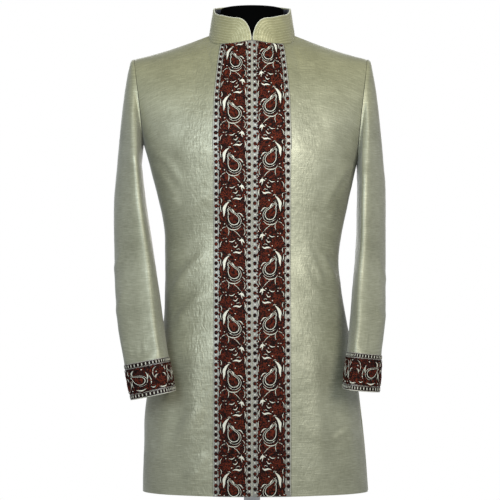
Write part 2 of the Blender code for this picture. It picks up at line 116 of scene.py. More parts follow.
# Fronts and back.
# Two fronts and a back of raw silk on an interlining, sewn at the shoulders and down the sides
# to the vents. The form holds the shoulders and chest, and the skirt hangs free below it.
BODY_COLUMNS = ("height", "right", "left", "front", "back")
BODY_SECTIONS = (         # half widths to the side seams, depths to the front and the back
    (0.547, 0.2140, 0.2295, 0.135, 0.138),
    (0.640, 0.2122, 0.2222, 0.134, 0.137),
    (0.7245, 0.208, 0.2130, 0.131, 0.134),
    (0.754, 0.2025, 0.2095, 0.130, 0.133),
    (0.800, 0.1915, 0.2025, 0.128, 0.130),
    (0.882, 0.1740, 0.1860, 0.122, 0.122),
    (0.945, 0.1715, 0.1755, 0.116, 0.114),
    (1.006, 0.1706, 0.1708, 0.110, 0.107),
    (1.0555, 0.1720, 0.1773, 0.112, 0.108),
    (1.1185, 0.1835, 0.1905, 0.119, 0.115),
    (1.162, 0.1945, 0.2000, 0.1225, 0.120),
    (1.205, 0.2065, 0.2085, 0.125, 0.124),
    (1.240, 0.2165, 0.2130, 0.125, 0.126),
)
HEM = 0.547
HEM_LIFT = 0.008          # by which the hem kicks up at the centre front
HEM_LIFT_OVER = 0.12      # height over which the kick fades out
HEM_LIFT_DEPTH = 0.12     # how far forward of the centre the cloth has the whole kick
VENT_TOP = 0.754
VENT_TUCK = 0.0050        # by which the left front's edge lies inside the back's, below the vent
VENT_TUCK_OVER = 0.07     # height below the vent's top over which the tuck grows
VENT_TUCK_REACH = 0.045   # how far forward of the side seam it reaches
WAIST = 1.006
CHEST = 1.205
ROUNDING = 2.3            # superellipse power of a body section
UNDERARM = {"right": 1.227, "left": 1.187}
NECK_HALF = 0.084
NECK_DEEP = 0.070
NECK_PIT = 1.419
NECK_CENTRE_LIFT = 0.005
NECK_SHOULDER = 1.442
NECK_NAPE = 1.458
SHOULDER_TIP = {"right": 0.2315, "left": 0.2265}
SHOULDER_TIP_HEIGHT = 1.396
SHOULDER_TIP_BACK = 0.008
SHOULDER_SAG = 0.003
ARMHOLE_SCOOP = {"front": 0.058, "back": 0.066}
BACK_FULLNESS = 0.006
TRIM_WIDTH = 0.074
TRIM_WIDTH_AT_NECK = 0.064
TRIM_TAPER_START = 1.31
CLOTH = 0.0015            # the silk with its interlining
SEAM = 0.00015            # each piece's share of a seam
VENT_SET_BACK = 0.0020
SAMPLES = 241
NECK_SAMPLES = 81
SIGN = {"right": -1.0, "left": 1.0, "front": -1.0, "back": 1.0}
CELL = 0.0045             # spacing of the cloth's points
ROWS_TO_CHEST = round((CHEST - HEM) / CELL)
ROWS_TO_NECK = 46
TRIM_COLUMNS = 18
NECK_COLUMNS = 26         # from the centre to below the neck point
SIDE_COLUMNS = 42
NECK_POINT_REACH = 9.0    # columns to each side of a neck point where the cloth rounds over
NECK_POINT_ROWS = 8.0     # rows above the chest over which that begins
NECK_EDGE_ROWS = 4.0      # rows below the neckline over which it ends
ROUNDING_PASSES = 60


def read(table, columns, name, station):
    """One column of a table at a height, on a smooth curve through its rows."""
    rows = sorted(table)
    stations = np.array([row[0] for row in rows])
    values = np.array([row[columns.index(name)] for row in rows])
    slopes = np.gradient(values, stations)
    at = int(np.clip(np.searchsorted(stations, station) - 1, 0, len(rows) - 2))
    step = stations[at + 1] - stations[at]
    t = (station - stations[at]) / step
    from_left = values[at] * (1 + 2 * t) * (1 - t) ** 2 + slopes[at] * step * t * (1 - t) ** 2
    from_right = values[at + 1] * t * t * (3 - 2 * t) + slopes[at + 1] * step * t * t * (t - 1)
    return from_left + from_right


def distances(line):
    return np.concatenate(([0.0], np.cumsum(np.linalg.norm(np.diff(line, axis=0), axis=1))))


def along(line, stops):
    """Points at the given distances along a line of points."""
    gone = distances(line)
    return np.stack([np.interp(stops, gone, line[:, axis]) for axis in range(3)], axis=1)


def body_row(side, face, height):
    """A quarter of a body section, from the centre line to the side seam."""
    rise = np.clip((height - WAIST) / (CHEST - WAIST), 0.0, 1.0)
    side_height = height + rise * (UNDERARM[side] - CHEST)
    width = read(BODY_SECTIONS, BODY_COLUMNS, side, side_height)
    depth = read(BODY_SECTIONS, BODY_COLUMNS, face, height)
    turn = np.linspace(0.0, 1.0, SAMPLES)
    angle = turn * math.pi / 2
    x = SIGN[side] * width * np.sin(angle) ** (2 / ROUNDING)
    y = SIGN[face] * depth * np.clip(np.cos(angle), 0.0, 1.0) ** (2 / ROUNDING)
    z = height + (side_height - height) * turn ** 2
    return np.stack((x, y, z), axis=1)


def neckline(side, face):
    """A quarter of the neckline, from the centre line to the shoulder seam."""
    turn = np.linspace(0.0, 1.0, SAMPLES)
    angle = turn * math.pi / 2
    x = SIGN[side] * NECK_HALF * np.sin(angle)
    y = SIGN[face] * NECK_DEEP * np.cos(angle)
    if face == "front":
        z = NECK_PIT + (NECK_SHOULDER - NECK_PIT) * turn ** 5
        z = z + NECK_CENTRE_LIFT * np.clip(np.cos(angle), 0.0, 1.0) ** 24
    else:
        z = NECK_NAPE + (NECK_SHOULDER - NECK_NAPE) * turn ** 2
    return np.stack((x, y, z), axis=1)


def shoulder_seam(side):
    t = np.linspace(0.0, 1.0, SAMPLES)
    x = SIGN[side] * (NECK_HALF + (SHOULDER_TIP[side] - NECK_HALF) * t)
    z = NECK_SHOULDER + (SHOULDER_TIP_HEIGHT - NECK_SHOULDER) * t
    z = z - SHOULDER_SAG * np.sin(math.pi * t)
    return np.stack((x, SHOULDER_TIP_BACK * t, z), axis=1)


def centre_line(face, v):
    """Centre front or centre back, from the chest level up to the neckline."""
    depth = read(BODY_SECTIONS, BODY_COLUMNS, face, CHEST)
    if face == "front":
        y = -depth + (depth - NECK_DEEP) * v ** 1.8
        return np.array((0.0, y, CHEST + (NECK_PIT + NECK_CENTRE_LIFT - CHEST) * v))
    y = depth - (depth - NECK_DEEP) * v ** 2.4 + BACK_FULLNESS * math.sin(math.pi * v)
    return np.array((0.0, y, CHEST + (NECK_NAPE - CHEST) * v))


def armhole(side, face, v):
    """Armhole, from the underarm up to the shoulder tip."""
    rise = (1 - math.cos(math.pi * v)) / 2
    bottom = read(BODY_SECTIONS, BODY_COLUMNS, side, UNDERARM[side])
    x = bottom + (SHOULDER_TIP[side] - bottom) * rise ** 1.5
    y = SHOULDER_TIP_BACK * rise + SIGN[face] * ARMHOLE_SCOOP[face] * math.sin(math.pi * v)
    z = UNDERARM[side] + (SHOULDER_TIP_HEIGHT - UNDERARM[side]) * rise
    return np.array((SIGN[side] * x, y, z))


def upper_row(side, face, v):
    """A row of the patch between chest, centre line, armhole, and neckline with shoulder."""
    low = body_row(side, face, CHEST)
    neck = neckline(side, face)
    high = np.concatenate((neck, shoulder_seam(side)[1:]))
    corner = distances(neck)[-1] / distances(high)[-1]
    beyond = np.linspace(corner, 1.0, SAMPLES - NECK_SAMPLES + 1)[1:]
    u = np.concatenate((np.linspace(0.0, corner, NECK_SAMPLES), beyond))
    low = along(low, u * distances(low)[-1])
    high = along(high, u * distances(high)[-1])
    u = u[:, None]
    ruled = (1 - v) * low + v * high + (1 - u) * centre_line(face, v) + u * armhole(side, face, v)
    corners = (1 - u) * ((1 - v) * low[0] + v * high[0]) + u * ((1 - v) * low[-1] + v * high[-1])
    return ruled - corners


def trim_width(height):
    taper = np.clip((height - TRIM_TAPER_START) / (NECK_PIT - TRIM_TAPER_START), 0.0, 1.0)
    return TRIM_WIDTH + (TRIM_WIDTH_AT_NECK - TRIM_WIDTH) * taper


def quarter(side, face):
    """Points of a quarter of the body, rows from the hem up, columns from the centre out."""
    neck = distances(neckline(side, face))[-1]
    rows = [(body_row(side, face, height), neck)
            for height in np.linspace(HEM, CHEST, ROWS_TO_CHEST)]
    for step in range(1, ROWS_TO_NECK + 1):
        row = upper_row(side, face, step / ROWS_TO_NECK)
        rows.append((row, distances(row[:NECK_SAMPLES])[-1]))
    grid = []
    for row, neck in rows:
        trim = trim_width(row[0][2])
        near = np.linspace(0.0, trim, TRIM_COLUMNS + 1)[:-1]
        middle = np.linspace(trim, neck, NECK_COLUMNS - TRIM_COLUMNS + 1)[:-1]
        far = np.linspace(0.0, 1.0, SIDE_COLUMNS + 1)
        far = neck + (distances(row)[-1] - neck) * (far + 0.08 * np.sin(math.pi * far) * far)
        grid.append(along(row, np.concatenate((near, middle, far))))
    return np.array(grid)


def grid_normals(grid, closed=False):
    """Normals of a grid of points, to the outside where columns run anticlockwise and rows up."""
    if closed:
        across = np.roll(grid, -1, axis=1) - np.roll(grid, 1, axis=1)
    else:
        across = np.gradient(grid, axis=1)
    normal = np.cross(across, np.gradient(grid, axis=0))
    return normal / np.maximum(np.linalg.norm(normal, axis=2, keepdims=True), 1e-12)


def join_normals(one, other):
    """Makes two panels' normals alike along the seam that they share."""
    mean = one + other
    return mean / np.linalg.norm(mean, axis=-1, keepdims=True)


quarters = {(side, face): quarter(side, face) for side in ("right", "left")
            for face in ("front", "back")}
PANELS = {
    "front_right": quarters["right", "front"][:, ::-1],
    "front_left": quarters["left", "front"],
    "back": np.concatenate((quarters["left", "back"][:, ::-1],
                            quarters["right", "back"][:, 1:]), axis=1),
}
for name, grid in PANELS.items():
    # The cloth rounds over below each neck point, where neckline and shoulder seam meet.
    rows, columns = np.arange(grid.shape[0]), np.arange(grid.shape[1])
    above_chest = np.clip((rows - ROWS_TO_CHEST) / NECK_POINT_ROWS, 0.0, 1.0)
    below_neck = np.clip((grid.shape[0] - 1 - rows) / NECK_EDGE_ROWS, 0.0, 1.0)
    points_of_neck = {"front_right": (SIDE_COLUMNS,), "front_left": (NECK_COLUMNS,),
                      "back": (SIDE_COLUMNS, SIDE_COLUMNS + 2 * NECK_COLUMNS)}[name]
    held = np.zeros(grid.shape[:2])
    for column in points_of_neck:
        beside = np.exp(-((columns - column) / NECK_POINT_REACH) ** 4)
        held += (above_chest * below_neck)[:, None] * beside
    held = np.clip(held, 0.0, 1.0)
    held[:, :3] = held[:, -3:] = 0.0
    for _ in range(ROUNDING_PASSES):
        mean = grid.copy()
        mean[:, 1:-1] = 0.5 * grid[:, 1:-1] + 0.25 * (grid[:, :-2] + grid[:, 2:])
        grid += held[..., None] * (mean - grid)
    if name != "back":
        low = np.clip(1.0 - (grid[..., 2] - HEM) / HEM_LIFT_OVER, 0.0, 1.0)
        grid[..., 2] += HEM_LIFT * np.clip(-grid[..., 1] / HEM_LIFT_DEPTH, 0.0, 1.0) * low
    if name == "front_left":
        open_below = np.clip((VENT_TOP - grid[..., 2]) / VENT_TUCK_OVER, 0.0, 1.0)
        beside = np.clip(1.0 + grid[..., 1] / VENT_TUCK_REACH, 0.0, 1.0)
        grid[..., 0] -= VENT_TUCK * open_below * beside ** 2
NORMALS = {name: grid_normals(grid) for name, grid in PANELS.items()}
centre = join_normals(NORMALS["front_right"][:, -1], NORMALS["front_left"][:, 0])
NORMALS["front_right"][:, -1] = NORMALS["front_left"][:, 0] = centre
left_side = join_normals(NORMALS["front_left"][:, -1], NORMALS["back"][:, 0])
NORMALS["front_left"][:, -1] = NORMALS["back"][:, 0] = left_side
right_side = join_normals(NORMALS["back"][:, -1], NORMALS["front_right"][:, 0])
NORMALS["back"][:, -1] = NORMALS["front_right"][:, 0] = right_side
middle = PANELS["back"].shape[1] // 2
shoulder = SIDE_COLUMNS + 1
for front, seam, back in (("front_left", slice(-shoulder, None), slice(0, shoulder)),
                          ("front_right", slice(0, shoulder), slice(-shoulder, None))):
    mean = join_normals(NORMALS[front][-1, seam], NORMALS["back"][-1, back][::-1])
    NORMALS[front][-1, seam] = mean
    NORMALS["back"][-1, back] = mean[::-1]

# Creases and folds, each a line of (x, z) points, its half width, and its height, with a
# lower trough of the given share beside it. Minus heights are troughs.
FRONT_CREASES = (
    (((-0.156, 0.936), (-0.122, 0.982), (-0.084, 1.018)), 0.0105, 0.0044, 0.6),
    (((-0.148, 0.872), (-0.122, 0.908), (-0.088, 0.942)), 0.0100, 0.0038, 0.6),
    (((-0.146, 1.074), (-0.112, 1.106), (-0.078, 1.132)), 0.0110, 0.0022, 0.5),
    (((-0.150, 0.838), (-0.128, 0.850), (-0.100, 0.858)), 0.0090, 0.0016, 0.5),
    (((-0.150, 0.642), (-0.124, 0.688), (-0.094, 0.732)), 0.0130, 0.0036, 0.5),
    (((-0.126, 0.566), (-0.105, 0.604), (-0.082, 0.642)), 0.0120, 0.0030, 0.5),
    (((0.098, 1.046), (0.118, 0.998), (0.140, 0.948)), 0.0075, 0.0022, 0.5),
    (((-0.090, 1.420), (-0.083, 1.392), (-0.078, 1.352)), 0.0050, -0.0010, 0.3),
    (((-0.190, 1.210), (-0.160, 1.185), (-0.135, 1.140)), 0.0080, 0.0022, 0.5),
    (((-0.186, 1.180), (-0.158, 1.140), (-0.140, 1.090)), 0.0080, 0.0016, 0.5),
    (((0.135, 1.018), (0.150, 0.988), (0.164, 0.955)), 0.0060, 0.0024, 0.6),
    (((0.118, 1.040), (0.132, 1.010), (0.150, 0.975)), 0.0060, 0.0014, 0.5),
    (((0.092, 1.010), (0.112, 0.960), (0.142, 0.915)), 0.0080, 0.0014, 0.5),
    (((0.152, 0.655), (0.178, 0.672), (0.202, 0.662)), 0.0050, 0.0016, 0.6),
    (((0.079, 1.418), (0.088, 1.388), (0.093, 1.350)), 0.0055, -0.0010, 0.3),
    (((0.190, 1.185), (0.165, 1.150), (0.140, 1.098)), 0.0080, 0.0020, 0.5),
    (((0.186, 1.150), (0.160, 1.105), (0.146, 1.060)), 0.0075, 0.0014, 0.5),
    (((-0.176, 0.860), (-0.168, 0.740), (-0.172, 0.600)), 0.0160, 0.0030, 0.5),
    (((-0.108, 0.850), (-0.112, 0.720), (-0.120, 0.580)), 0.0180, 0.0026, 0.5),
    (((0.112, 0.850), (0.122, 0.720), (0.134, 0.575)), 0.0180, 0.0028, 0.5),
    (((0.170, 0.845), (0.178, 0.740), (0.192, 0.600)), 0.0150, 0.0026, 0.5),
)
BACK_CREASES = (
    (((-0.150, 1.020), (-0.095, 0.995), (-0.030, 1.002)), 0.0085, 0.0026, 0.6),
    (((0.148, 1.000), (0.100, 0.968), (0.040, 0.972)), 0.0085, 0.0028, 0.6),
    (((-0.130, 0.965), (-0.080, 0.940), (-0.025, 0.948)), 0.0080, 0.0020, 0.5),
    (((0.120, 0.930), (0.075, 0.912), (0.030, 0.920)), 0.0080, 0.0018, 0.5),
    (((-0.188, 1.205), (-0.150, 1.235), (-0.105, 1.290)), 0.0095, 0.0026, 0.5),
    (((0.186, 1.180), (0.150, 1.215), (0.108, 1.275)), 0.0095, 0.0026, 0.5),
    (((-0.170, 1.165), (-0.128, 1.185), (-0.090, 1.220)), 0.0090, 0.0018, 0.5),
    (((0.172, 1.140), (0.130, 1.165), (0.095, 1.200)), 0.0090, 0.0016, 0.5),
    (((-0.165, 0.880), (-0.160, 0.740), (-0.170, 0.590)), 0.0170, 0.0034, 0.5),
    (((-0.085, 0.900), (-0.088, 0.740), (-0.095, 0.575)), 0.0190, 0.0032, 0.5),
    (((0.004, 0.920), (-0.002, 0.740), (0.003, 0.570)), 0.0180, 0.0024, 0.5),
    (((0.088, 0.890), (0.094, 0.740), (0.104, 0.580)), 0.0190, 0.0034, 0.5),
    (((0.160, 0.870), (0.168, 0.740), (0.182, 0.595)), 0.0160, 0.0030, 0.5),
    (((-0.060, 1.430), (-0.075, 1.400), (-0.080, 1.360)), 0.0070, 0.0010, 0.4),
    (((0.058, 1.430), (0.074, 1.400), (0.080, 1.362)), 0.0070, 0.0010, 0.4),
)
SEAM_DEPTH = 0.0007
SEAM_REACH = 0.0030
CRUMPLE = 0.00055         # height of the silk's fine crumple
CRUMPLE_SIZE = 0.012
CRUMPLE_TOP = 1.36        # the yoke lies smoother from here up
CRUMPLE_FADE = 0.12
CRUMPLE_BESIDE = 0.100    # where it is strongest, from the centre line
CRUMPLE_REACH = 0.028
WAVE = 0.0011             # height of the silk's broad waves
WAVE_SIZE = 0.075
UNDER_BAND = 0.25         # share of all relief that is left under the stiff band
BAND_STIFF_REACH = 0.05
SEAM_FLAT = 0.012         # relief fades out over this much of the cloth beside a seam


def smooth_line(points, count):
    """A smooth curve through a few points, on Catmull-Rom spans."""
    points = np.array(points, dtype=float)
    ends = np.concatenate(([2 * points[0] - points[1]], points, [2 * points[-1] - points[-2]]))
    out = []
    for a, b, c, d in zip(ends[:-3], ends[1:-2], ends[2:-1], ends[3:]):
        t = np.linspace(0.0, 1.0, count, endpoint=False)[:, None]
        out.append(0.5 * (2 * b + (c - a) * t + (2 * a - 5 * b + 4 * c - d) * t ** 2
                          + (3 * b - a - 3 * c + d) * t ** 3))
    return np.concatenate(out + [points[-1:]])


def creases_on(places, creases):
    """Height of the creases at (x, z) places, each fading out towards its two ends."""
    height = np.zeros(places.shape[:-1])
    for points, width, rise, trough in creases:
        line = smooth_line(points, 8)
        gone = distances(line)
        best = np.full(height.shape, 1e9)
        beside = np.zeros(height.shape)
        share = np.zeros(height.shape)
        for a, b, start, end in zip(line[:-1], line[1:], gone[:-1], gone[1:]):
            span = b - a
            t = np.clip(((places - a) @ span) / (span @ span), 0.0, 1.0)
            apart = places - (a + t[..., None] * span)
            far = np.linalg.norm(apart, axis=-1)
            nearer = far < best
            cross = span[0] * apart[..., 1] - span[1] * apart[..., 0]
            best = np.where(nearer, far, best)
            beside = np.where(nearer, np.sign(cross) * far, beside)
            share = np.where(nearer, (start + (end - start) * t) / gone[-1], share)
        fade = np.clip(np.sin(math.pi * np.clip(share, 0.02, 0.98)) * 1.6, 0.0, 1.0)
        ridge = np.exp(-(beside / width) ** 2)
        hollow = np.exp(-((beside - 1.7 * width) / (1.3 * width)) ** 2)
        height += rise * fade * (ridge - trough * hollow)
    return height


def crumple_on(points, size, seed):
    """Soft uneven noise at points, between about -1 and 1."""
    shift = Vector((seed * 3.1, seed * 7.7, seed * 1.3))
    values = []
    for x, y, z in points.reshape(-1, 3).tolist():
        at = Vector((x / size, y / size, z / size))
        values.append(noise.noise(at + shift) + 0.5 * noise.noise(at * 2.3 + shift))
    return np.array(values).reshape(points.shape[:-1])


def side_edge(grid):
    """Set-back of a side edge in each row: a seam above the vent's top, an open edge below."""
    return np.where(grid[:, grid.shape[1] // 2, 2] < VENT_TOP - 0.001, VENT_SET_BACK, SEAM)


def set_back(grid, left=0.0, right=0.0, top=0.0):
    """Moves the edges of a grid inwards."""
    out = grid.copy()
    for column, inner, amount in ((0, 1, left), (-1, -2, right)):
        toward = grid[:, inner] - grid[:, column]
        toward /= np.linalg.norm(toward, axis=1, keepdims=True)
        out[:, column] += toward * (np.ones(len(grid)) * amount)[:, None]
    toward = out[-2] - out[-1]
    out[-1] += toward / np.linalg.norm(toward, axis=1, keepdims=True) * top
    return out


def turn_faces_out(mesh):
    shell = bmesh.new()
    shell.from_mesh(mesh)
    bmesh.ops.recalc_face_normals(shell, faces=shell.faces[:])
    shell.to_mesh(mesh)
    shell.free()


def new_piece(name, mesh):
    piece = bpy.data.objects.new(name, mesh)
    bpy.context.collection.objects.link(piece)
    return piece


def wall_of_cloth(name, outer, inner, uv, closed=False):
    """A closed wall between two grids of points, with its map in metres."""
    rows, columns = outer.shape[:2]
    count = rows * columns
    index = np.arange(count).reshape(rows, columns)
    right = np.roll(index, -1, axis=1) if closed else index[:, 1:]
    left = index if closed else index[:, :-1]
    faces = np.stack((left[:-1], right[:-1], right[1:], left[1:]), axis=-1).reshape(-1, 4)
    rims = [np.stack((right[0], left[0], left[0] + count, right[0] + count), axis=-1),
            np.stack((left[-1], right[-1], right[-1] + count, left[-1] + count), axis=-1)]
    if not closed:
        rims.append(np.stack((index[:-1, 0], index[1:, 0], index[1:, 0] + count,
                              index[:-1, 0] + count), axis=-1))
        rims.append(np.stack((index[1:, -1], index[:-1, -1], index[:-1, -1] + count,
                              index[1:, -1] + count), axis=-1))
    faces = np.concatenate([faces, faces[:, ::-1] + count] + rims)
    mesh = bpy.data.meshes.new(name)
    mesh.from_pydata(np.concatenate((outer.reshape(-1, 3), inner.reshape(-1, 3))).tolist(), [],
                     faces.tolist())
    flat = np.tile(uv.reshape(-1, 2), (2, 1))[faces]
    if closed:
        # The strip that closes the ring carries the map on past its last column.
        girth = 2 * uv[:, -1, 0] - uv[:, -2, 0]
        row, column = np.divmod(faces % count, columns)
        closing = (column == columns - 1).any(axis=1)[:, None] & (column == 0)
        flat[..., 0] += np.where(closing, girth[row], 0.0)
    mesh.uv_layers.new(name="cloth_map").data.foreach_set("uv", flat.ravel())
    turn_faces_out(mesh)
    mesh.shade_smooth()
    mesh.set_sharp_from_angle(angle=math.radians(50))
    return new_piece(name, mesh)


def distances_across(grid):
    steps = np.linalg.norm(np.diff(grid, axis=1), axis=2)
    return np.concatenate((np.zeros((len(grid), 1)), np.cumsum(steps, axis=1)), axis=1)


def beside_the_band(name, grid):
    """How near each point is to the stiff front band, beside which the silk is most crumpled."""
    if name == "back":
        return np.zeros(grid.shape[:2])
    return np.exp(-((np.abs(grid[..., 0]) - CRUMPLE_BESIDE) / CRUMPLE_REACH) ** 2)


def body_relief(name, grid):
    """Height of the creases, the crumple and the sunk seams over a panel."""
    height = creases_on(grid[..., (0, 2)], BACK_CREASES if name == "back" else FRONT_CREASES)
    below_yoke = np.clip((CRUMPLE_TOP - grid[..., 2]) / CRUMPLE_FADE, 0.15, 1.0)
    beside_band = {"front_right": 1.0, "front_left": 0.45, "back": 0.0}[name]
    amount = CRUMPLE * (0.30 + beside_band * beside_the_band(name, grid)) * below_yoke
    height += amount * crumple_on(grid, CRUMPLE_SIZE, 3.0)
    height += WAVE * below_yoke * crumple_on(grid, WAVE_SIZE, 8.0)
    from_left = distances_across(grid)
    from_right = from_left[:, -1:] - from_left
    to_side = {"front_right": from_left, "front_left": from_right,
               "back": np.minimum(from_left, from_right)}[name]
    if name != "back":
        to_centre = from_left if name == "front_left" else from_right
        clear = np.clip((to_centre - 0.5 * TRIM_WIDTH) / BAND_STIFF_REACH, 0.0, 1.0)
        height *= UNDER_BAND + (1 - UNDER_BAND) * clear
    height *= np.clip(to_side / SEAM_FLAT, 0.0, 1.0)
    return height - SEAM_DEPTH * np.exp(-(to_side / SEAM_REACH) ** 2)


def cloth_map(name, grid):
    """Distance from the centre line and height, in metres."""
    gone = distances_across(grid)
    start = {"front_right": gone[:, -1:], "front_left": 0.0,
             "back": gone[:, middle:middle + 1]}[name]
    up = np.concatenate((np.zeros((1, grid.shape[1])),
                         np.cumsum(np.linalg.norm(np.diff(grid, axis=0), axis=2), axis=0)))
    return np.stack((gone - start, up), axis=-1)


def add_node(tree, kind, sockets=(), **settings):
    """A shader node with its settings, each of its given sockets set to a value or linked."""
    node = tree.nodes.new("ShaderNode" + kind)
    for setting, value in settings.items():
        setattr(node, setting, value)
    for socket, value in dict(sockets).items():
        if isinstance(value, bpy.types.NodeSocket):
            tree.links.new(value, node.inputs[socket])
        else:
            node.inputs[socket].default_value = value
    return node


def maths(tree, kind, one, other=0.0):
    return add_node(tree, "Math", {0: one, 1: other}, operation=kind).outputs[0]


def silk_weave_group():
    """Raw silk's look: thick and thin wefts across, fine warp, and cloudy colour."""
    group = bpy.data.node_groups.new("raw_silk_weave", "ShaderNodeTree")
    ends = group.interface
    ends.new_socket(name="Map", in_out="INPUT", socket_type="NodeSocketVector")
    ends.new_socket(name="Slub", in_out="INPUT", socket_type="NodeSocketFloat").default_value = 1.0
    for name in ("Tone", "Gloss", "Height"):
        ends.new_socket(name=name, in_out="OUTPUT", socket_type="NodeSocketFloat")
    source, result = group.nodes.new("NodeGroupInput"), group.nodes.new("NodeGroupOutput")

    def streaks(across, up, detail):
        scale = add_node(group, "Mapping", {"Vector": source.outputs["Map"],
                                            "Scale": (across, up, 1.0)})
        cloud = add_node(group, "TexNoise", {"Vector": scale.outputs[0], "Scale": 1.0,
                                             "Detail": detail, "Roughness": 0.6},
                         noise_dimensions="2D")
        return cloud.outputs["Fac"]

    def times(one, other):
        return maths(group, "MULTIPLY", one, other)

    def plus(one, other):
        return maths(group, "ADD", one, other)

    weft = streaks(60.0, 1100.0, 2.0)
    slub = streaks(22.0, 420.0, 1.0)
    warp = streaks(1500.0, 60.0, 1.0)
    clouds = streaks(9.0, 12.0, 3.0)
    thick = times(maths(group, "SUBTRACT", slub, 0.56), 5.0)
    thick = maths(group, "MINIMUM", maths(group, "MAXIMUM", thick, 0.0), 1.0)
    thick = times(thick, source.outputs["Slub"])
    tone = plus(plus(times(weft, 0.45), times(warp, 0.20)), times(clouds, 0.35))
    group.links.new(plus(tone, times(thick, 0.10)), result.inputs["Tone"])
    group.links.new(plus(times(clouds, 0.5), times(weft, 0.5)), result.inputs["Gloss"])
    threads = plus(times(weft, 0.6), times(warp, 0.35))
    group.links.new(plus(threads, thick), result.inputs["Height"])
    return group


def tones_of(tree, value, low, dark, high, light):
    """Colours a value: dark up to its low end, and light from its high end on."""
    ramp = add_node(tree, "ValToRGB", {"Fac": value})
    for end, place, colour in zip(ramp.color_ramp.elements, (low, high), (dark, light)):
        end.position = place
        end.color = (*colour, 1.0)
    return ramp.outputs["Color"]


def stretched(tree, value, span, onto):
    """Maps a value's span onto another."""
    return add_node(tree, "MapRange", {"Value": value, "From Min": span[0], "From Max": span[1],
                                       "To Min": onto[0], "To Max": onto[1]}).outputs[0]


SILK_WEAVE = silk_weave_group()
PAINTED_SHADE_HEIGHTS = (1.26, 1.42)   # between which a painted shade darkens the silk and turns it golden towards the shoulders
PAINTED_SHADE_TINT = (0.88, 0.84, 0.52, 1.0)


def silk(name, dark, light, shine=0.32, slub=1.0, painted_shade=0.0, roughness=(0.56, 0.42)):
    """Raw silk with the given shade and light tones, its sheen brightest where it faces light,
    darkened towards the shoulders by a painted shade.
    """
    made, tree, shader = new_finish(name)
    place = add_node(tree, "UVMap", uv_map="cloth_map")
    weave = add_node(tree, "Group", {"Slub": slub, "Map": place.outputs[0]}, node_tree=SILK_WEAVE)
    where = add_node(tree, "TexCoord").outputs["Object"]
    apart = add_node(tree, "SeparateXYZ", {0: where})
    # Painted shade: towards the shoulders the tones are multiplied by a dull gold, darkening and
    # warming the silk as shade and warm light from above would.
    painted_shade_colour = add_node(tree, "Mix", {
        "Factor": stretched(tree, apart.outputs["Z"], PAINTED_SHADE_HEIGHTS, (0.0, painted_shade)),
        "A": tones_of(tree, weave.outputs["Tone"], 0.34, dark, 0.72, light),
        "B": PAINTED_SHADE_TINT}, data_type="RGBA", blend_type="MULTIPLY")
    tree.links.new(painted_shade_colour.outputs["Result"], shader.inputs["Base Color"])
    gloss = stretched(tree, weave.outputs["Gloss"], (0.3, 0.7), roughness)
    tree.links.new(gloss, shader.inputs["Roughness"])
    woven = add_node(tree, "Bump", {"Strength": 0.30, "Distance": 0.0004,
                                    "Height": weave.outputs["Height"]})
    drawn = add_node(tree, "Mapping", {"Vector": where, "Scale": (210.0, 210.0, 90.0)})
    crinkle = add_node(tree, "TexNoise", {"Vector": drawn.outputs[0], "Scale": 1.0,
                                          "Detail": 2.5, "Distortion": 0.6})
    amount = add_node(tree, "Attribute", attribute_name="crinkle")
    folds = maths(tree, "MULTIPLY", maths(tree, "ADD", amount.outputs["Fac"], 0.22),
                  crinkle.outputs["Fac"])
    crumpled = add_node(tree, "Bump", {"Strength": 0.8, "Distance": 0.0016, "Height": folds,
                                       "Normal": woven.outputs[0]})
    tree.links.new(crumpled.outputs[0], shader.inputs["Normal"])
    shader.inputs["Metallic"].default_value = shine
    shader.inputs["Specular IOR Level"].default_value = 0.6
    shader.inputs["Coat Weight"].default_value = 0.12
    shader.inputs["Coat Roughness"].default_value = 0.38
    shader.inputs["Sheen Weight"].default_value = 0.25
    shader.inputs["Sheen Roughness"].default_value = 0.45
    return made


# Its colour carries the painted shade, darker and more golden towards the shoulders.
BODY_SILK = silk("cream_raw_silk", (0.170, 0.170, 0.110), (0.352, 0.352, 0.256), painted_shade=0.66)
SHAPED = {}
for name, grid in PANELS.items():
    SHAPED[name] = grid + NORMALS[name] * body_relief(name, grid)[..., None]
    side = side_edge(grid)
    edges = {"front_right": dict(left=side, right=SEAM), "front_left": dict(left=SEAM, right=side),
             "back": dict(left=side, right=side)}[name]
    outer = set_back(SHAPED[name], top=SEAM, **edges)
    inner = set_back(SHAPED[name] - NORMALS[name] * CLOTH, top=SEAM, **edges)
    piece = wall_of_cloth("coat_" + name, outer, inner, cloth_map(name, grid))
    crinkled = beside_the_band(name, grid).ravel() * {"front_right": 1.2, "front_left": 0.6,
                                                      "back": 0.0}[name]
    piece.data.attributes.new("crinkle", "FLOAT", "POINT").data.foreach_set(
        "value", np.tile(crinkled, 2))
    piece.data.materials.append(BODY_SILK)
    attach(piece, "root")
    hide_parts(name)


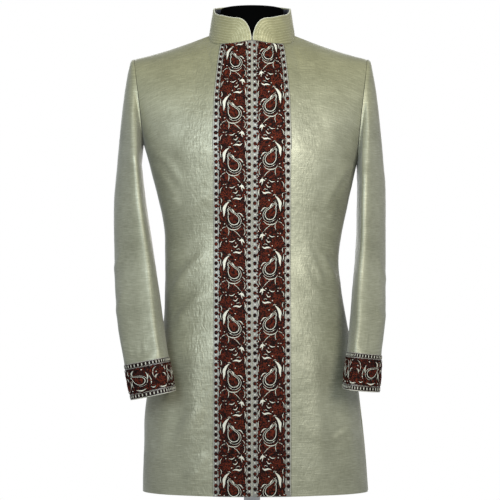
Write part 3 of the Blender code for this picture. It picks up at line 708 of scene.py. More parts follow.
# Sleeves.
# Long two-piece sleeves set into the armholes, eased over a small roll at the head. They hang
# empty, bent forward a little at the elbow, with a pressed fold down the front.
SLEEVE_COLUMNS = ("height", "across", "back", "half_across", "half_deep")
SLEEVE_SECTIONS = {
    "right": (
        (1.190, 0.2410, -0.004, 0.0235, 0.088),
        (1.120, 0.2394, -0.012, 0.0306, 0.086),
        (1.020, 0.2309, -0.027, 0.0379, 0.080),
        (0.944, 0.2225, -0.054, 0.0420, 0.074),
        (0.884, 0.2138, -0.087, 0.0434, 0.066),
        (0.815, 0.2004, -0.120, 0.0420, 0.053),
        (0.780, 0.1931, -0.130, 0.0420, 0.049),
        (0.747, 0.1857, -0.138, 0.0421, 0.047),
    ),
    "left": (
        (1.152, 0.2346, -0.006, 0.0272, 0.088),
        (1.100, 0.2339, -0.012, 0.0283, 0.086),
        (1.020, 0.2319, -0.022, 0.0291, 0.083),
        (0.944, 0.2265, -0.048, 0.0319, 0.077),
        (0.895, 0.2225, -0.078, 0.0333, 0.069),
        (0.826, 0.2128, -0.114, 0.0323, 0.058),
        (0.790, 0.2092, -0.124, 0.0333, 0.055),
        (0.756, 0.2056, -0.131, 0.0342, 0.053),
    ),
}
CUFF_TOP = {"right": 0.815, "left": 0.826}
SLEEVE_AROUND = 96
RING_SPACING = 0.0042
SLEEVE_HEAD_ROLL = 0.006
SLEEVE_HEAD_START = 0.001
SLEEVE_HEAD_DROP = 0.004
HEAD_BULGE = 0.004
CAP_RINGS = 34
MEAN_GIRTH = 0.36
CUFF_LEVEL = 0.85         # share by which the sleeve's end hangs level from front to back
CUFF_LEVEL_FROM = 0.95    # height from which its sections begin to turn level
CUFF_LEVEL_OVER = 0.12
FRONT_LEAN = 0.50         # share of half the width by which the front edge lies towards the body


def sleeve_ring(side, height, angles):
    """A section of the sleeve, square to its axis, starting at the point next to the body."""
    def axis_point(station):
        across, back = (read(SLEEVE_SECTIONS[side], SLEEVE_COLUMNS, name, station)
                        for name in ("across", "back"))
        return np.array((SIGN[side] * across, back, station))

    half_across = read(SLEEVE_SECTIONS[side], SLEEVE_COLUMNS, "half_across", height)
    half_deep = read(SLEEVE_SECTIONS[side], SLEEVE_COLUMNS, "half_deep", height)
    first = SLEEVE_SECTIONS[side][0][0]
    axis = axis_point(min(height + 0.01, first)) - axis_point(height - 0.01)
    axis /= np.linalg.norm(axis)
    outward = np.array((SIGN[side], 0.0, 0.0))
    outward -= axis * outward.dot(axis)
    outward /= np.linalg.norm(outward)
    forward = np.array((0.0, -1.0, 0.0))
    forward -= axis * forward.dot(axis)
    forward /= np.linalg.norm(forward)
    levelled = min(max((CUFF_LEVEL_FROM - height) / CUFF_LEVEL_OVER, 0.0), 1.0)
    forward[2] *= 1.0 - CUFF_LEVEL * levelled
    inward = np.cos(angles) + FRONT_LEAN * np.clip(np.sin(angles), 0.0, 1.0) ** 2
    return (axis_point(height) - np.outer(inward * half_across, outward)
            + np.outer(np.sin(angles) * half_deep, forward))


def sleeve_grid(side):
    """Rings of the sleeve from the armhole seam down to the cuff's edge."""
    half = SLEEVE_AROUND // 2
    seam = np.array([armhole(side, "front", k / half) for k in range(half + 1)]
                    + [armhole(side, "back", k / half) for k in range(half - 1, 0, -1)])
    rise = (seam[:, 2] - UNDERARM[side]) / (SHOULDER_TIP_HEIGHT - UNDERARM[side])
    seam = seam + np.array((SIGN[side] * 2 * SEAM, 0.0, 0.0))
    head = seam.copy()
    head[:, 0] += SIGN[side] * (SLEEVE_HEAD_START + SLEEVE_HEAD_ROLL * rise)
    head[:, 2] -= SLEEVE_HEAD_DROP * rise
    angles = np.arange(SLEEVE_AROUND) * 2 * math.pi / SLEEVE_AROUND
    first_height = SLEEVE_SECTIONS[side][0][0]
    first = sleeve_ring(side, first_height, angles)
    rings = [seam, seam + (head - seam) * (0.5, 0.5, 0.15)]
    for k in range(CAP_RINGS):
        t = k / CAP_RINGS
        ring = head + (first - head) * t
        ring[:, 0] += SIGN[side] * HEAD_BULGE * rise * math.sin(math.pi * t ** 0.7)
        rings.append(ring)
    last_height = SLEEVE_SECTIONS[side][-1][0]
    count = round((first_height - last_height) / RING_SPACING)
    rings += [sleeve_ring(side, height, angles)
              for height in np.linspace(first_height, last_height, count)]
    return np.array(rings)


# Folds of the sleeves, as lines of (turns round from the body, height), with the half width
# and height of each in metres. A quarter turn is the front, half a turn the outside.
SLEEVE_FOLDS = {
    "right": (
        (((0.380, 1.010), (0.440, 0.985), (0.520, 0.990)), 0.0080, 0.0012),
        (((0.380, 0.930), (0.450, 0.905), (0.530, 0.915)), 0.0080, 0.0012),
        (((0.300, 0.845), (0.305, 0.833), (0.303, 0.820)), 0.0028, 0.0010),
        (((0.350, 0.840), (0.352, 0.830), (0.350, 0.820)), 0.0028, 0.0010),
        (((0.400, 0.843), (0.398, 0.832), (0.400, 0.820)), 0.0028, 0.0008),
        (((0.640, 1.060), (0.720, 1.030), (0.800, 1.045)), 0.0090, 0.0026),
        (((0.620, 0.975), (0.700, 0.950), (0.790, 0.968)), 0.0085, 0.0026),
        (((0.600, 0.900), (0.690, 0.880), (0.770, 0.892)), 0.0080, 0.0020),
        (((0.860, 1.150), (0.900, 1.080), (0.930, 1.000)), 0.0100, 0.0022),
    ),
    "left": (
        (((0.370, 0.990), (0.440, 0.962), (0.510, 0.968)), 0.0080, 0.0012),
        (((0.360, 0.900), (0.420, 0.885), (0.500, 0.898)), 0.0075, 0.0012),
        (((0.310, 0.856), (0.312, 0.844), (0.310, 0.832)), 0.0028, 0.0010),
        (((0.640, 1.050), (0.720, 1.020), (0.800, 1.030)), 0.0090, 0.0026),
        (((0.620, 0.960), (0.710, 0.938), (0.800, 0.955)), 0.0085, 0.0026),
        (((0.860, 1.130), (0.900, 1.060), (0.930, 0.990)), 0.0100, 0.0022),
    ),
}

FRONT_FOLD = 0.205        # where the pressed fold runs, in turns round from the body
FRONT_FOLD_WIDTH = 0.034
FRONT_FOLD_RISE = 0.0040
FRONT_FOLD_TOP = 1.31     # it fades in below this height
FRONT_FOLD_FADE = 0.10
FLAT_FACE = 0.0045        # by which the outer face beside the fold is flattened
FLAT_FACE_AT = 0.34
FLAT_FACE_WIDTH = 0.08
SLEEVE_WAVE = 0.0004
SLEEVE_WAVE_SIZE = 0.060
ARMHOLE_FLAT = 0.02       # relief fades out over this much of the sleeve below the armhole
UNDER_CUFF = 0.12         # share of it that is left under the cuff band
CUFF_FADE = 0.012


def sleeve_relief(side, grid):
    turns = np.tile(np.arange(SLEEVE_AROUND) / SLEEVE_AROUND, (len(grid), 1))
    level = np.tile(grid[:, :, 2].mean(axis=1)[:, None], (1, SLEEVE_AROUND))
    places = np.stack((turns * MEAN_GIRTH, level), axis=-1)
    folds = [([(turn * MEAN_GIRTH, at) for turn, at in points], width, rise, 0.5)
             for points, width, rise in SLEEVE_FOLDS[side]]
    height = creases_on(places, folds)
    seed = 5.0 if side == "right" else 11.0
    height += SLEEVE_WAVE * crumple_on(grid, SLEEVE_WAVE_SIZE, seed)
    pressed = np.clip((FRONT_FOLD_TOP - level) / FRONT_FOLD_FADE, 0.0, 1.0)
    height += pressed * FRONT_FOLD_RISE * np.exp(-((turns - FRONT_FOLD) / FRONT_FOLD_WIDTH) ** 2)
    height -= pressed * FLAT_FACE * np.exp(-((turns - FLAT_FACE_AT) / FLAT_FACE_WIDTH) ** 2)
    height += 0.35 * CRUMPLE * crumple_on(grid, CRUMPLE_SIZE, 6.0)
    steps = np.linalg.norm(np.diff(grid, axis=0), axis=2)
    from_seam = np.concatenate((np.zeros((1, SLEEVE_AROUND)), np.cumsum(steps, axis=0)))
    height *= np.clip(from_seam / ARMHOLE_FLAT, 0.0, 1.0)
    above_cuff = np.clip((level - CUFF_TOP[side]) / CUFF_FADE, 0.0, 1.0)
    return height * (UNDER_CUFF + (1 - UNDER_CUFF) * above_cuff)


for side in ("right", "left"):
    grid = sleeve_grid(side)
    facing = grid_normals(grid, closed=True)
    if (facing[-1] * (grid[-1] - grid[-1].mean(axis=0))).sum() < 0:
        facing = -facing
    flat_seam = facing[0].copy()
    flat_seam[:, 0] = 0.0
    facing[0] = flat_seam / np.linalg.norm(flat_seam, axis=1, keepdims=True)
    outer = grid + facing * sleeve_relief(side, grid)[..., None]
    SHAPED["sleeve_" + side] = outer
    NORMALS["sleeve_" + side] = facing
    uv = np.stack((distances_across(grid), grid[:, :, 2]), axis=-1)
    piece = wall_of_cloth("coat_sleeve_" + side, outer, outer - facing * CLOTH, uv, closed=True)
    piece.data.materials.append(BODY_SILK)
    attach(piece, "root")
    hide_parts("sleeve_" + side)


# Stand collar and its lining.
# A double layer of the silk, channel stitched in rows that follow its top edge, with rounded
# front corners that meet in a notch. A pale piping edges it, and dark satin lines it.
COLLAR_HEIGHT_FRONT = 0.048
COLLAR_HEIGHT_BACK = 0.051
COLLAR_SIDE_RISE = 0.0066  # by which the collar is higher beside the neck than in front
SIDE_RISE_GROWS = (0.026, 0.052)   # distance from the corner where that begins, and over which
SIDE_RISE_FALLS = (0.095, 0.065)
COLLAR_TOP_SCALE = 0.905
COLLAR_CORNER = 0.034
COLLAR_NOTCH = 0.002
COLLAR_LEAST = 0.006
COLLAR_WALL = 0.0022
COLLAR_ROWS = 64
LINING_INSET = 0.0028
LINING_WALL = 0.0010
LINING_DROP = 0.002
CHANNEL = 0.0050          # between two rows of stitching
CHANNEL_RISE = 0.0008
FIRST_CHANNEL = 0.0012    # from the collar's edge to the first row
COLLAR_EDGE_SOFT = 0.0015
COLLAR_CRUMPLE = 0.0005
COLLAR_CRUMPLE_SIZE = 0.016
COLLAR_FOOT_FLAT = 0.01   # height over which the crumple begins
STITCH_HALF = 0.00028     # half the thread's width
STITCH_PITCH = 0.0026
PIPING_RADIUS = 0.0009

NECK_RING = np.concatenate((neckline("right", "front"), neckline("right", "back")[-2::-1],
                            neckline("left", "back")[1:], neckline("left", "front")[-2::-1]))
neck_total = distances(NECK_RING)[-1]
near_corner = np.concatenate((np.arange(COLLAR_NOTCH, 0.015, 0.0008),
                              np.arange(0.015, 0.045, 0.0018)))
collar_stops = np.concatenate((near_corner, np.linspace(0.045, neck_total - 0.045, 140),
                               (neck_total - near_corner)[::-1]))


def collar_grid(inset, drop, row_count):
    """Rows of the stand collar; its height falls to nothing round the front corners."""
    foot = along(NECK_RING, collar_stops)
    radial = foot * np.array((1 / NECK_HALF ** 2, 1 / NECK_DEEP ** 2, 0.0))
    radial /= np.linalg.norm(radial, axis=1, keepdims=True)
    from_edge = np.minimum(collar_stops, neck_total - collar_stops) - COLLAR_NOTCH
    corner = np.clip(from_edge / COLLAR_CORNER, 0.0, 1.0)
    height = (COLLAR_HEIGHT_FRONT
              + (COLLAR_HEIGHT_BACK - COLLAR_HEIGHT_FRONT) * from_edge / from_edge.max())
    up = np.clip((from_edge - SIDE_RISE_GROWS[0]) / SIDE_RISE_GROWS[1], 0.0, 1.0)
    down = np.clip((from_edge - SIDE_RISE_FALLS[0]) / SIDE_RISE_FALLS[1], 0.0, 1.0)
    height += COLLAR_SIDE_RISE * up * up * (3 - 2 * up) * (1 - down * down * (3 - 2 * down))
    height = np.maximum(height * np.sqrt(1 - (1 - corner) ** 2), COLLAR_LEAST) - drop
    foot = foot - radial * inset
    foot[:, 2] += 2 * SEAM
    share = np.linspace(0.0, 1.0, row_count + 1)[:, None]
    rise = share * height
    full = rise / COLLAR_HEIGHT_BACK
    grid = np.tile(foot, (row_count + 1, 1, 1))
    grid[..., :2] *= (1 - (1 - COLLAR_TOP_SCALE) * full)[..., None]
    grid[..., 2] += rise
    return grid, radial, rise, height


def from_top_edge(rise, height):
    """Distance of each place on the flat collar from its top and front edges."""
    edge = np.stack((collar_stops, height), axis=1)
    edge = np.concatenate(([[edge[0, 0], 0.0]], edge, [[edge[-1, 0], 0.0]]))
    places = np.stack(np.broadcast_arrays(collar_stops[None, :], rise), axis=-1)
    least = np.full(rise.shape, 1e9)
    for a, b in zip(edge[:-1], edge[1:]):
        span = b - a
        t = np.clip(((places - a) @ span) / max(span @ span, 1e-12), 0.0, 1.0)
        least = np.minimum(least, np.linalg.norm(places - (a + t[..., None] * span), axis=-1))
    return least


grid, radial, rise, height = collar_grid(0.0, 0.0, COLLAR_ROWS)
from_edge = from_top_edge(rise, height)
channels = np.abs(np.sin(math.pi * (from_edge - FIRST_CHANNEL) / CHANNEL)) ** 0.7
towards_left = np.clip(collar_stops / neck_total, 0.0, 1.0)
strong = np.interp(towards_left, (0.0, 0.10, 0.20, 0.8, 1.0), (0.55, 0.70, 1.0, 1.0, 0.95))
puff = CHANNEL_RISE * channels * strong * np.clip(from_edge / COLLAR_EDGE_SOFT, 0.0, 1.0)
puff += (COLLAR_CRUMPLE * crumple_on(grid, COLLAR_CRUMPLE_SIZE, 21.0)
         * np.clip(rise / COLLAR_FOOT_FLAT, 0.0, 1.0))
outer = grid + radial * puff[..., None]
stitch_map = np.stack((np.broadcast_to(collar_stops, from_edge.shape), from_edge), axis=-1)
collar = wall_of_cloth("coat_collar", outer, grid - radial * COLLAR_WALL, stitch_map)

collar_silk = silk("collar_raw_silk", (0.205, 0.195, 0.096), (0.315, 0.300, 0.160), slub=0.5)
tree = collar_silk.node_tree
apart = add_node(tree, "SeparateXYZ", {0: tree.nodes["UV Map"].outputs[0]})
from_row = maths(tree, "PINGPONG", maths(tree, "ADD", apart.outputs["Y"], -FIRST_CHANNEL),
                 CHANNEL / 2)
in_row = maths(tree, "LESS_THAN", from_row, STITCH_HALF)
dash = maths(tree, "FRACT", maths(tree, "DIVIDE", apart.outputs["X"], STITCH_PITCH))
stitched = maths(tree, "MULTIPLY", in_row, maths(tree, "LESS_THAN", dash, 0.72))
thread = add_node(tree, "Mix", {"Factor": stitched, "A": tree.nodes["Mix"].outputs["Result"],
                                "B": (0.46, 0.44, 0.28, 1.0)}, data_type="RGBA")
tree.links.new(thread.outputs["Result"], tree.nodes["Principled BSDF"].inputs["Base Color"])
collar.data.materials.append(collar_silk)
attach(collar, "root")
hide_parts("collar")


def cord(name, line, radius, sides=8, closed=False):
    """A round cord along a line of points, its map in metres along and round it."""
    line = np.asarray(line)
    count = len(line)
    if closed:
        ahead = np.roll(line, -1, axis=0) - np.roll(line, 1, axis=0)
    else:
        ahead = np.gradient(line, axis=0)
    ahead /= np.linalg.norm(ahead, axis=1, keepdims=True)
    side = np.cross(ahead, (0.0, 0.0, 1.0))
    weak = np.linalg.norm(side, axis=1) < 0.15
    side[weak] = np.cross(ahead[weak], (0.0, 1.0, 0.0))
    side /= np.linalg.norm(side, axis=1, keepdims=True)
    for k in range(1, count):
        if side[k] @ side[k - 1] < 0:
            side[k] = -side[k]
    up = np.cross(side, ahead)
    turn = np.arange(sides) * 2 * math.pi / sides
    points = (line[:, None] + radius * (side[:, None] * np.cos(turn)[None, :, None]
                                        + up[:, None] * np.sin(turn)[None, :, None]))
    index = np.arange(count * sides).reshape(count, sides)
    faces = []
    for r in range(count if closed else count - 1):
        low, high = index[r], index[(r + 1) % count]
        for k in range(sides):
            n = (k + 1) % sides
            faces.append((low[k], low[n], high[n], high[k]))
    if not closed:
        faces += [tuple(index[0][::-1]), tuple(index[-1])]
    mesh = bpy.data.meshes.new(name)
    mesh.from_pydata(points.reshape(-1, 3).tolist(), [], [[int(i) for i in face] for face in faces])
    gone = distances(line)
    flat = np.stack(np.broadcast_arrays(gone[:, None], turn[None, :] * radius), axis=-1)
    order = np.array([vert for face in mesh.polygons for vert in face.vertices])
    mesh.uv_layers.new(name="cloth_map").data.foreach_set("uv", flat.reshape(-1, 2)[order].ravel())
    turn_faces_out(mesh)
    mesh.shade_smooth()
    return new_piece(name, mesh)


top_line = (outer[-1] + grid[-1] - radial * COLLAR_WALL) / 2
front_down = [(outer[row, column] + grid[row, column] - radial[column] * COLLAR_WALL) / 2
              for column in (0, -1) for row in range(0, COLLAR_ROWS, 12)]
half = len(front_down) // 2
piping_line = np.concatenate((front_down[:half], top_line, front_down[half:][::-1]))
PIPING_SILK = silk("pale_piping_silk", (0.58, 0.58, 0.46), (0.72, 0.71, 0.60), shine=0.15, slub=0.3)
piping = cord("collar_piping", piping_line, PIPING_RADIUS)
piping.data.materials.append(PIPING_SILK)
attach(piping, "root")

grid, radial, rise, height = collar_grid(LINING_INSET, LINING_DROP, 16)
lining_map = np.stack(np.broadcast_arrays(collar_stops[None, :], rise), axis=-1)
lining = wall_of_cloth("coat_collar_lining", grid, grid - radial * LINING_WALL, lining_map)
satin = silk("dark_satin", (0.003, 0.004, 0.012), (0.009, 0.012, 0.030), shine=0.1, slub=0.1,
             roughness=(0.34, 0.28))
lining.data.materials.append(satin)
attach(lining, "root")
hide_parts("collar_lining")


# Embroidered front bands.
# A facing of pale silk on each front, close-worked in maroon thread with dark outlines. Paisleys,
# flowers and leaves fill the field between two rows of dots, mirrored about the centre front.
BAND_LIFT = 0.0003
BAND_WALL = 0.0005
BELOW_COLLAR = 0.001
FIELD_START = 11.0        # mm from the centre front to the field
FIELD_WIDTH = 51.5        # mm
REPEAT = {"right": 102.5, "left": 104.5}
FIRST_REPEAT = {"right": -84.0, "left": -103.0}
REPEAT_DRAWN = 104.0      # mm, the length at which one repeat is drawn
DOT_PITCH = {"right": 12.0, "left": 14.2}
DOT_LINES = (5.4, 68.4)   # mm from the centre front
DOT_RADIUS = 3.0          # mm
RIM_RADIUS = 3.8
BEAD_RADIUS = 1.5
WORK_STARTS = 1.4         # mm below the collar
WORK_ENDS = 0.6           # mm above the hem
WOBBLE = 0.5              # mm by which the handwork strays sideways
MM = 0.001


def new_work():
    return {"points": [], "map": [], "tone": [], "faces": []}


def stitch(work, points, faces, threads, tone):
    """Adds one worked shape: its (x, y, height) points in mm, its faces and its thread map."""
    start = sum(len(part) for part in work["points"])
    work["points"].append(np.asarray(points, dtype=float))
    work["map"].append(np.asarray(threads, dtype=float))
    work["tone"].append(np.full(len(points), tone))
    work["faces"] += [tuple(start + k for k in face) for face in faces]


LEAF_STATIONS = np.array((0.20, 0.50, 0.80))
LEAF_FULLNESS = np.array((0.72, 1.0, 0.66))
LEAF_EDGE = 0.95          # mm of dark thread that shows round a leaf


def leaf(kinds, x, y, angle, length, width, rise=0.75, bend=0.0, tone=0.5, foot=1.15):
    """A satin-stitched leaf from its foot at (x, y), on a dark outline a little larger."""
    ahead = np.array((math.cos(angle), math.sin(angle)))
    beside = np.array((-ahead[1], ahead[0]))

    def at(along_share, off):
        shift = bend * length * math.sin(math.pi * along_share)
        return np.array((x, y)) + ahead * length * along_share + beside * (off + shift)

    half = width / 2
    lefts = [at(t, half * w) for t, w in zip(LEAF_STATIONS, LEAF_FULLNESS)]
    rights = [at(t, -half * w) for t, w in zip(LEAF_STATIONS, LEAF_FULLNESS)]
    spine = [at(t, 0.0) for t in LEAF_STATIONS]
    start, tip = at(0.0, 0.0), at(1.0, 0.0)
    flat = [start, *lefts, tip, *rights[::-1]]
    points = [(*p, foot) for p in flat] + [(*p, foot + rise) for p in spine]
    threads = [(0.0, 0.0), *[(length * t, half * w) for t, w in zip(LEAF_STATIONS, LEAF_FULLNESS)],
               (length, 0.0), *[(length * t, -half * w) for t, w in
                                zip(LEAF_STATIONS[::-1], LEAF_FULLNESS[::-1])],
               *[(length * t, 0.0) for t in LEAF_STATIONS]]
    faces = [(0, 8, 1), (1, 8, 9, 2), (2, 9, 10, 3), (3, 10, 4),
             (4, 10, 5), (5, 10, 9, 6), (6, 9, 8, 7), (7, 8, 0)]
    stitch(kinds["maroon"], points, faces, threads, tone)
    middle = at(0.5, 0.0)
    grown = []
    for p in flat:
        away = p - middle
        grown.append((*(p + away / max(np.linalg.norm(away), 0.01) * LEAF_EDGE), foot - 0.06))
    stitch(kinds["dark"], grown, [tuple(range(8))[::-1]], [(p[0], p[1]) for p in grown], 0.0)


def strip(work, line, widths, rise=0.5, foot=1.2, tone=0.5, count=5):
    """A padded line of stitching along a smooth path, of the given widths along it."""
    path = smooth_line([(px, py, 0.0) for px, py in line], count)
    gone = distances(path)
    width = np.interp(gone / gone[-1], np.linspace(0, 1, len(widths)), widths)
    ahead = np.gradient(path, axis=0)
    ahead /= np.maximum(np.linalg.norm(ahead, axis=1, keepdims=True), 1e-9)
    beside = np.stack((-ahead[:, 1], ahead[:, 0], np.zeros(len(path))), axis=1)
    half = (width / 2)[:, None]
    left, right = path + beside * half, path - beside * half
    crest = path + np.array((0, 0, 1.0)) * (rise * np.clip(half / 0.6, 0.2, 1.0))
    points = np.stack((left, crest, right), axis=1).reshape(-1, 3) + (0.0, 0.0, foot)
    threads = np.stack((np.repeat(gone, 3),
                        (np.tile((1.0, 0.0, -1.0), (len(path), 1)) * half).ravel()), axis=1)
    faces = []
    for k in range(len(path) - 1):
        a = 3 * k
        faces += [(a, a + 1, a + 4, a + 3), (a + 1, a + 2, a + 5, a + 4)]
    stitch(work, points, faces, threads, tone)


LINE_EDGE = 1.7           # mm by which the dark line under a pale one is wider
PALE_SHARE = 0.66         # share of a line's drawn width that is pale thread


def outlined(kinds, line, widths, **more):
    """A pale line of stitching on a dark one that shows along both sides."""
    widths = [PALE_SHARE * w for w in widths]
    strip(kinds["dark"], line, [w + LINE_EDGE for w in widths], rise=0.08,
          foot=more.get("foot", 1.2) - 0.08)
    strip(kinds["ivory"], line, widths, **more)


def knot(work, x, y, radius, rise=0.8, foot=1.1, tone=0.5, sides=8):
    """A small round raised knot or dot."""
    turn = np.arange(sides) * 2 * math.pi / sides
    ring = [(x + radius * math.cos(a), y + radius * math.sin(a), foot) for a in turn]
    inner = [(x + 0.6 * radius * math.cos(a), y + 0.6 * radius * math.sin(a), foot + 0.8 * rise)
             for a in turn]
    points = ring + inner + [(x, y, foot + rise)]
    faces = [(k, (k + 1) % sides, sides + (k + 1) % sides, sides + k) for k in range(sides)]
    faces += [(sides + k, sides + (k + 1) % sides, 2 * sides) for k in range(sides)]
    stitch(work, points, faces, [(p[0] - x, p[1] - y) for p in points], tone)


def flower(kinds, x, y, radius, petals, turn=0.0, tone=0.55):
    """A many-petalled flower: pointed petals in two rings round a knot."""
    for k in range(petals):
        angle = turn + 2 * math.pi * k / petals
        longer = 1.0 + 0.14 * math.sin(3.0 * k + x)
        leaf(kinds, x + 0.30 * radius * math.cos(angle),
             y + 0.30 * radius * math.sin(angle), angle, 0.76 * radius * longer,
             0.36 * radius, tone=tone + 0.3 * math.sin(5.0 * k + y), foot=1.15 + 0.2 * (k % 3))
    for k in range(petals // 2):
        angle = turn + 0.3 + 4 * math.pi * k / petals
        leaf(kinds, x, y, angle, 0.55 * radius, 0.26 * radius, foot=2.0,
             tone=tone + 0.3, rise=0.5)
    knot(kinds["dark"], x, y, 0.17 * radius, foot=2.3, rise=0.5, sides=6)


PAISLEY = ((-10.0, -25.5), (-5.0, -19.0), (2.5, -13.0), (9.5, -7.5), (13.0, 0.0), (11.5, 7.5),
           (5.5, 12.5), (-2.5, 12.8), (-9.0, 8.0), (-12.4, 0.0), (-12.8, -9.5), (-12.4, -18.5))


def paisley(kinds, x, y, size=1.0, turn=0.0, flip=1.0, hook=True):
    """A paisley with its tip up, in two pale outlines, its heart filled with satin stitch."""
    cos, sin = math.cos(turn), math.sin(turn)

    def placed(points, scale, shift=(0.0, 0.0)):
        out = []
        for px, py in points:
            px, py = (px * scale + shift[0]) * size * flip, (py * scale + shift[1]) * size
            out.append((x + px * cos - py * sin, y + px * sin + py * cos))
        return out

    ring = PAISLEY + (PAISLEY[0],)
    strip(kinds["dark"], placed(ring, 0.95), [5.4 * size] * 3, rise=0.1, foot=1.7, count=4)
    strip(kinds["ivory"], placed(PAISLEY[:9], 1.06, (0.1, 0.2)),
          [0.3 * size, 0.6 * size, 0.8 * size, 0.6 * size, 0.3 * size],
          foot=1.8, rise=0.4, tone=0.8, count=4)
    strip(kinds["ivory"], placed(ring, 0.80, (-0.4, -0.9)),
          [0.5 * size, 0.9 * size, 1.2 * size, 1.1 * size, 0.5 * size],
          foot=1.8, rise=0.5, tone=0.9, count=4)
    strip(kinds["dark"], placed(ring, 0.71, (-0.5, -1.4)), [1.4 * size] * 3, rise=0.1, foot=1.75,
          count=3)
    inner = placed(PAISLEY, 0.64, (-0.7, -1.9))
    heart = placed(((-2.0, -3.0),), 1.0)[0]
    points = [(*p, 1.6) for p in inner] + [
        (0.55 * p[0] + 0.45 * heart[0], 0.55 * p[1] + 0.45 * heart[1], 2.15) for p in inner]
    points.append((*heart, 2.25))
    n = len(inner)
    faces = [(k, (k + 1) % n, n + (k + 1) % n, n + k) for k in range(n)]
    faces += [(n + k, n + (k + 1) % n, 2 * n) for k in range(n)]
    stitch(kinds["maroon"], points, faces, [(p[0] + p[1], p[0] - p[1]) for p in points], 0.45)
    if hook:
        crescent = ((-14.0, 10.5), (-9.5, 16.8), (-1.0, 19.4), (7.5, 17.6), (13.5, 12.0))
        outlined(kinds, placed(crescent, 1.0),
                 [0.6 * size, 2.2 * size, 3.0 * size, 2.2 * size, 0.6 * size], rise=0.6, foot=1.8)


def clear_of(x, y, kept):
    return all((x - kx) ** 2 + (y - ky) ** 2 > radius ** 2 for kx, ky, radius in kept)


def fill_leaves(kinds, low, high, kept, spacing, seed, periods, size=1.0):
    """Small leaves that fill the ground between the larger motifs, in flowing directions."""
    draw = random.Random(seed)
    placed = []
    for _ in range(5000):
        x, y = draw.uniform(low[0], high[0]), draw.uniform(low[1], high[1])
        length, swing = draw.uniform(5.2, 8.4) * size, draw.uniform(-0.5, 0.5)
        shade = draw.uniform(0.15, 0.85)
        if not clear_of(x, y, kept):
            continue
        near = False
        for px, py in placed:
            aside, gap = abs(x - px), abs(y - py)
            aside, gap = min(aside, periods[0] - aside), min(gap, periods[1] - gap)
            if aside ** 2 + gap ** 2 < (spacing * size) ** 2:
                near = True
                break
        if near:
            continue
        placed.append((x, y))
        flow = 1.3 + 1.5 * math.sin(0.11 * x + 0.9) + 1.7 * math.sin(0.072 * y + 0.05 * x) + swing
        leaf(kinds, x - 0.5 * length * math.cos(flow),
             y - 0.5 * length * math.sin(flow), flow, length, length * 0.42,
             bend=0.10 * math.sin(7 * x), tone=shade, foot=draw.uniform(1.12, 1.7), rise=0.6)


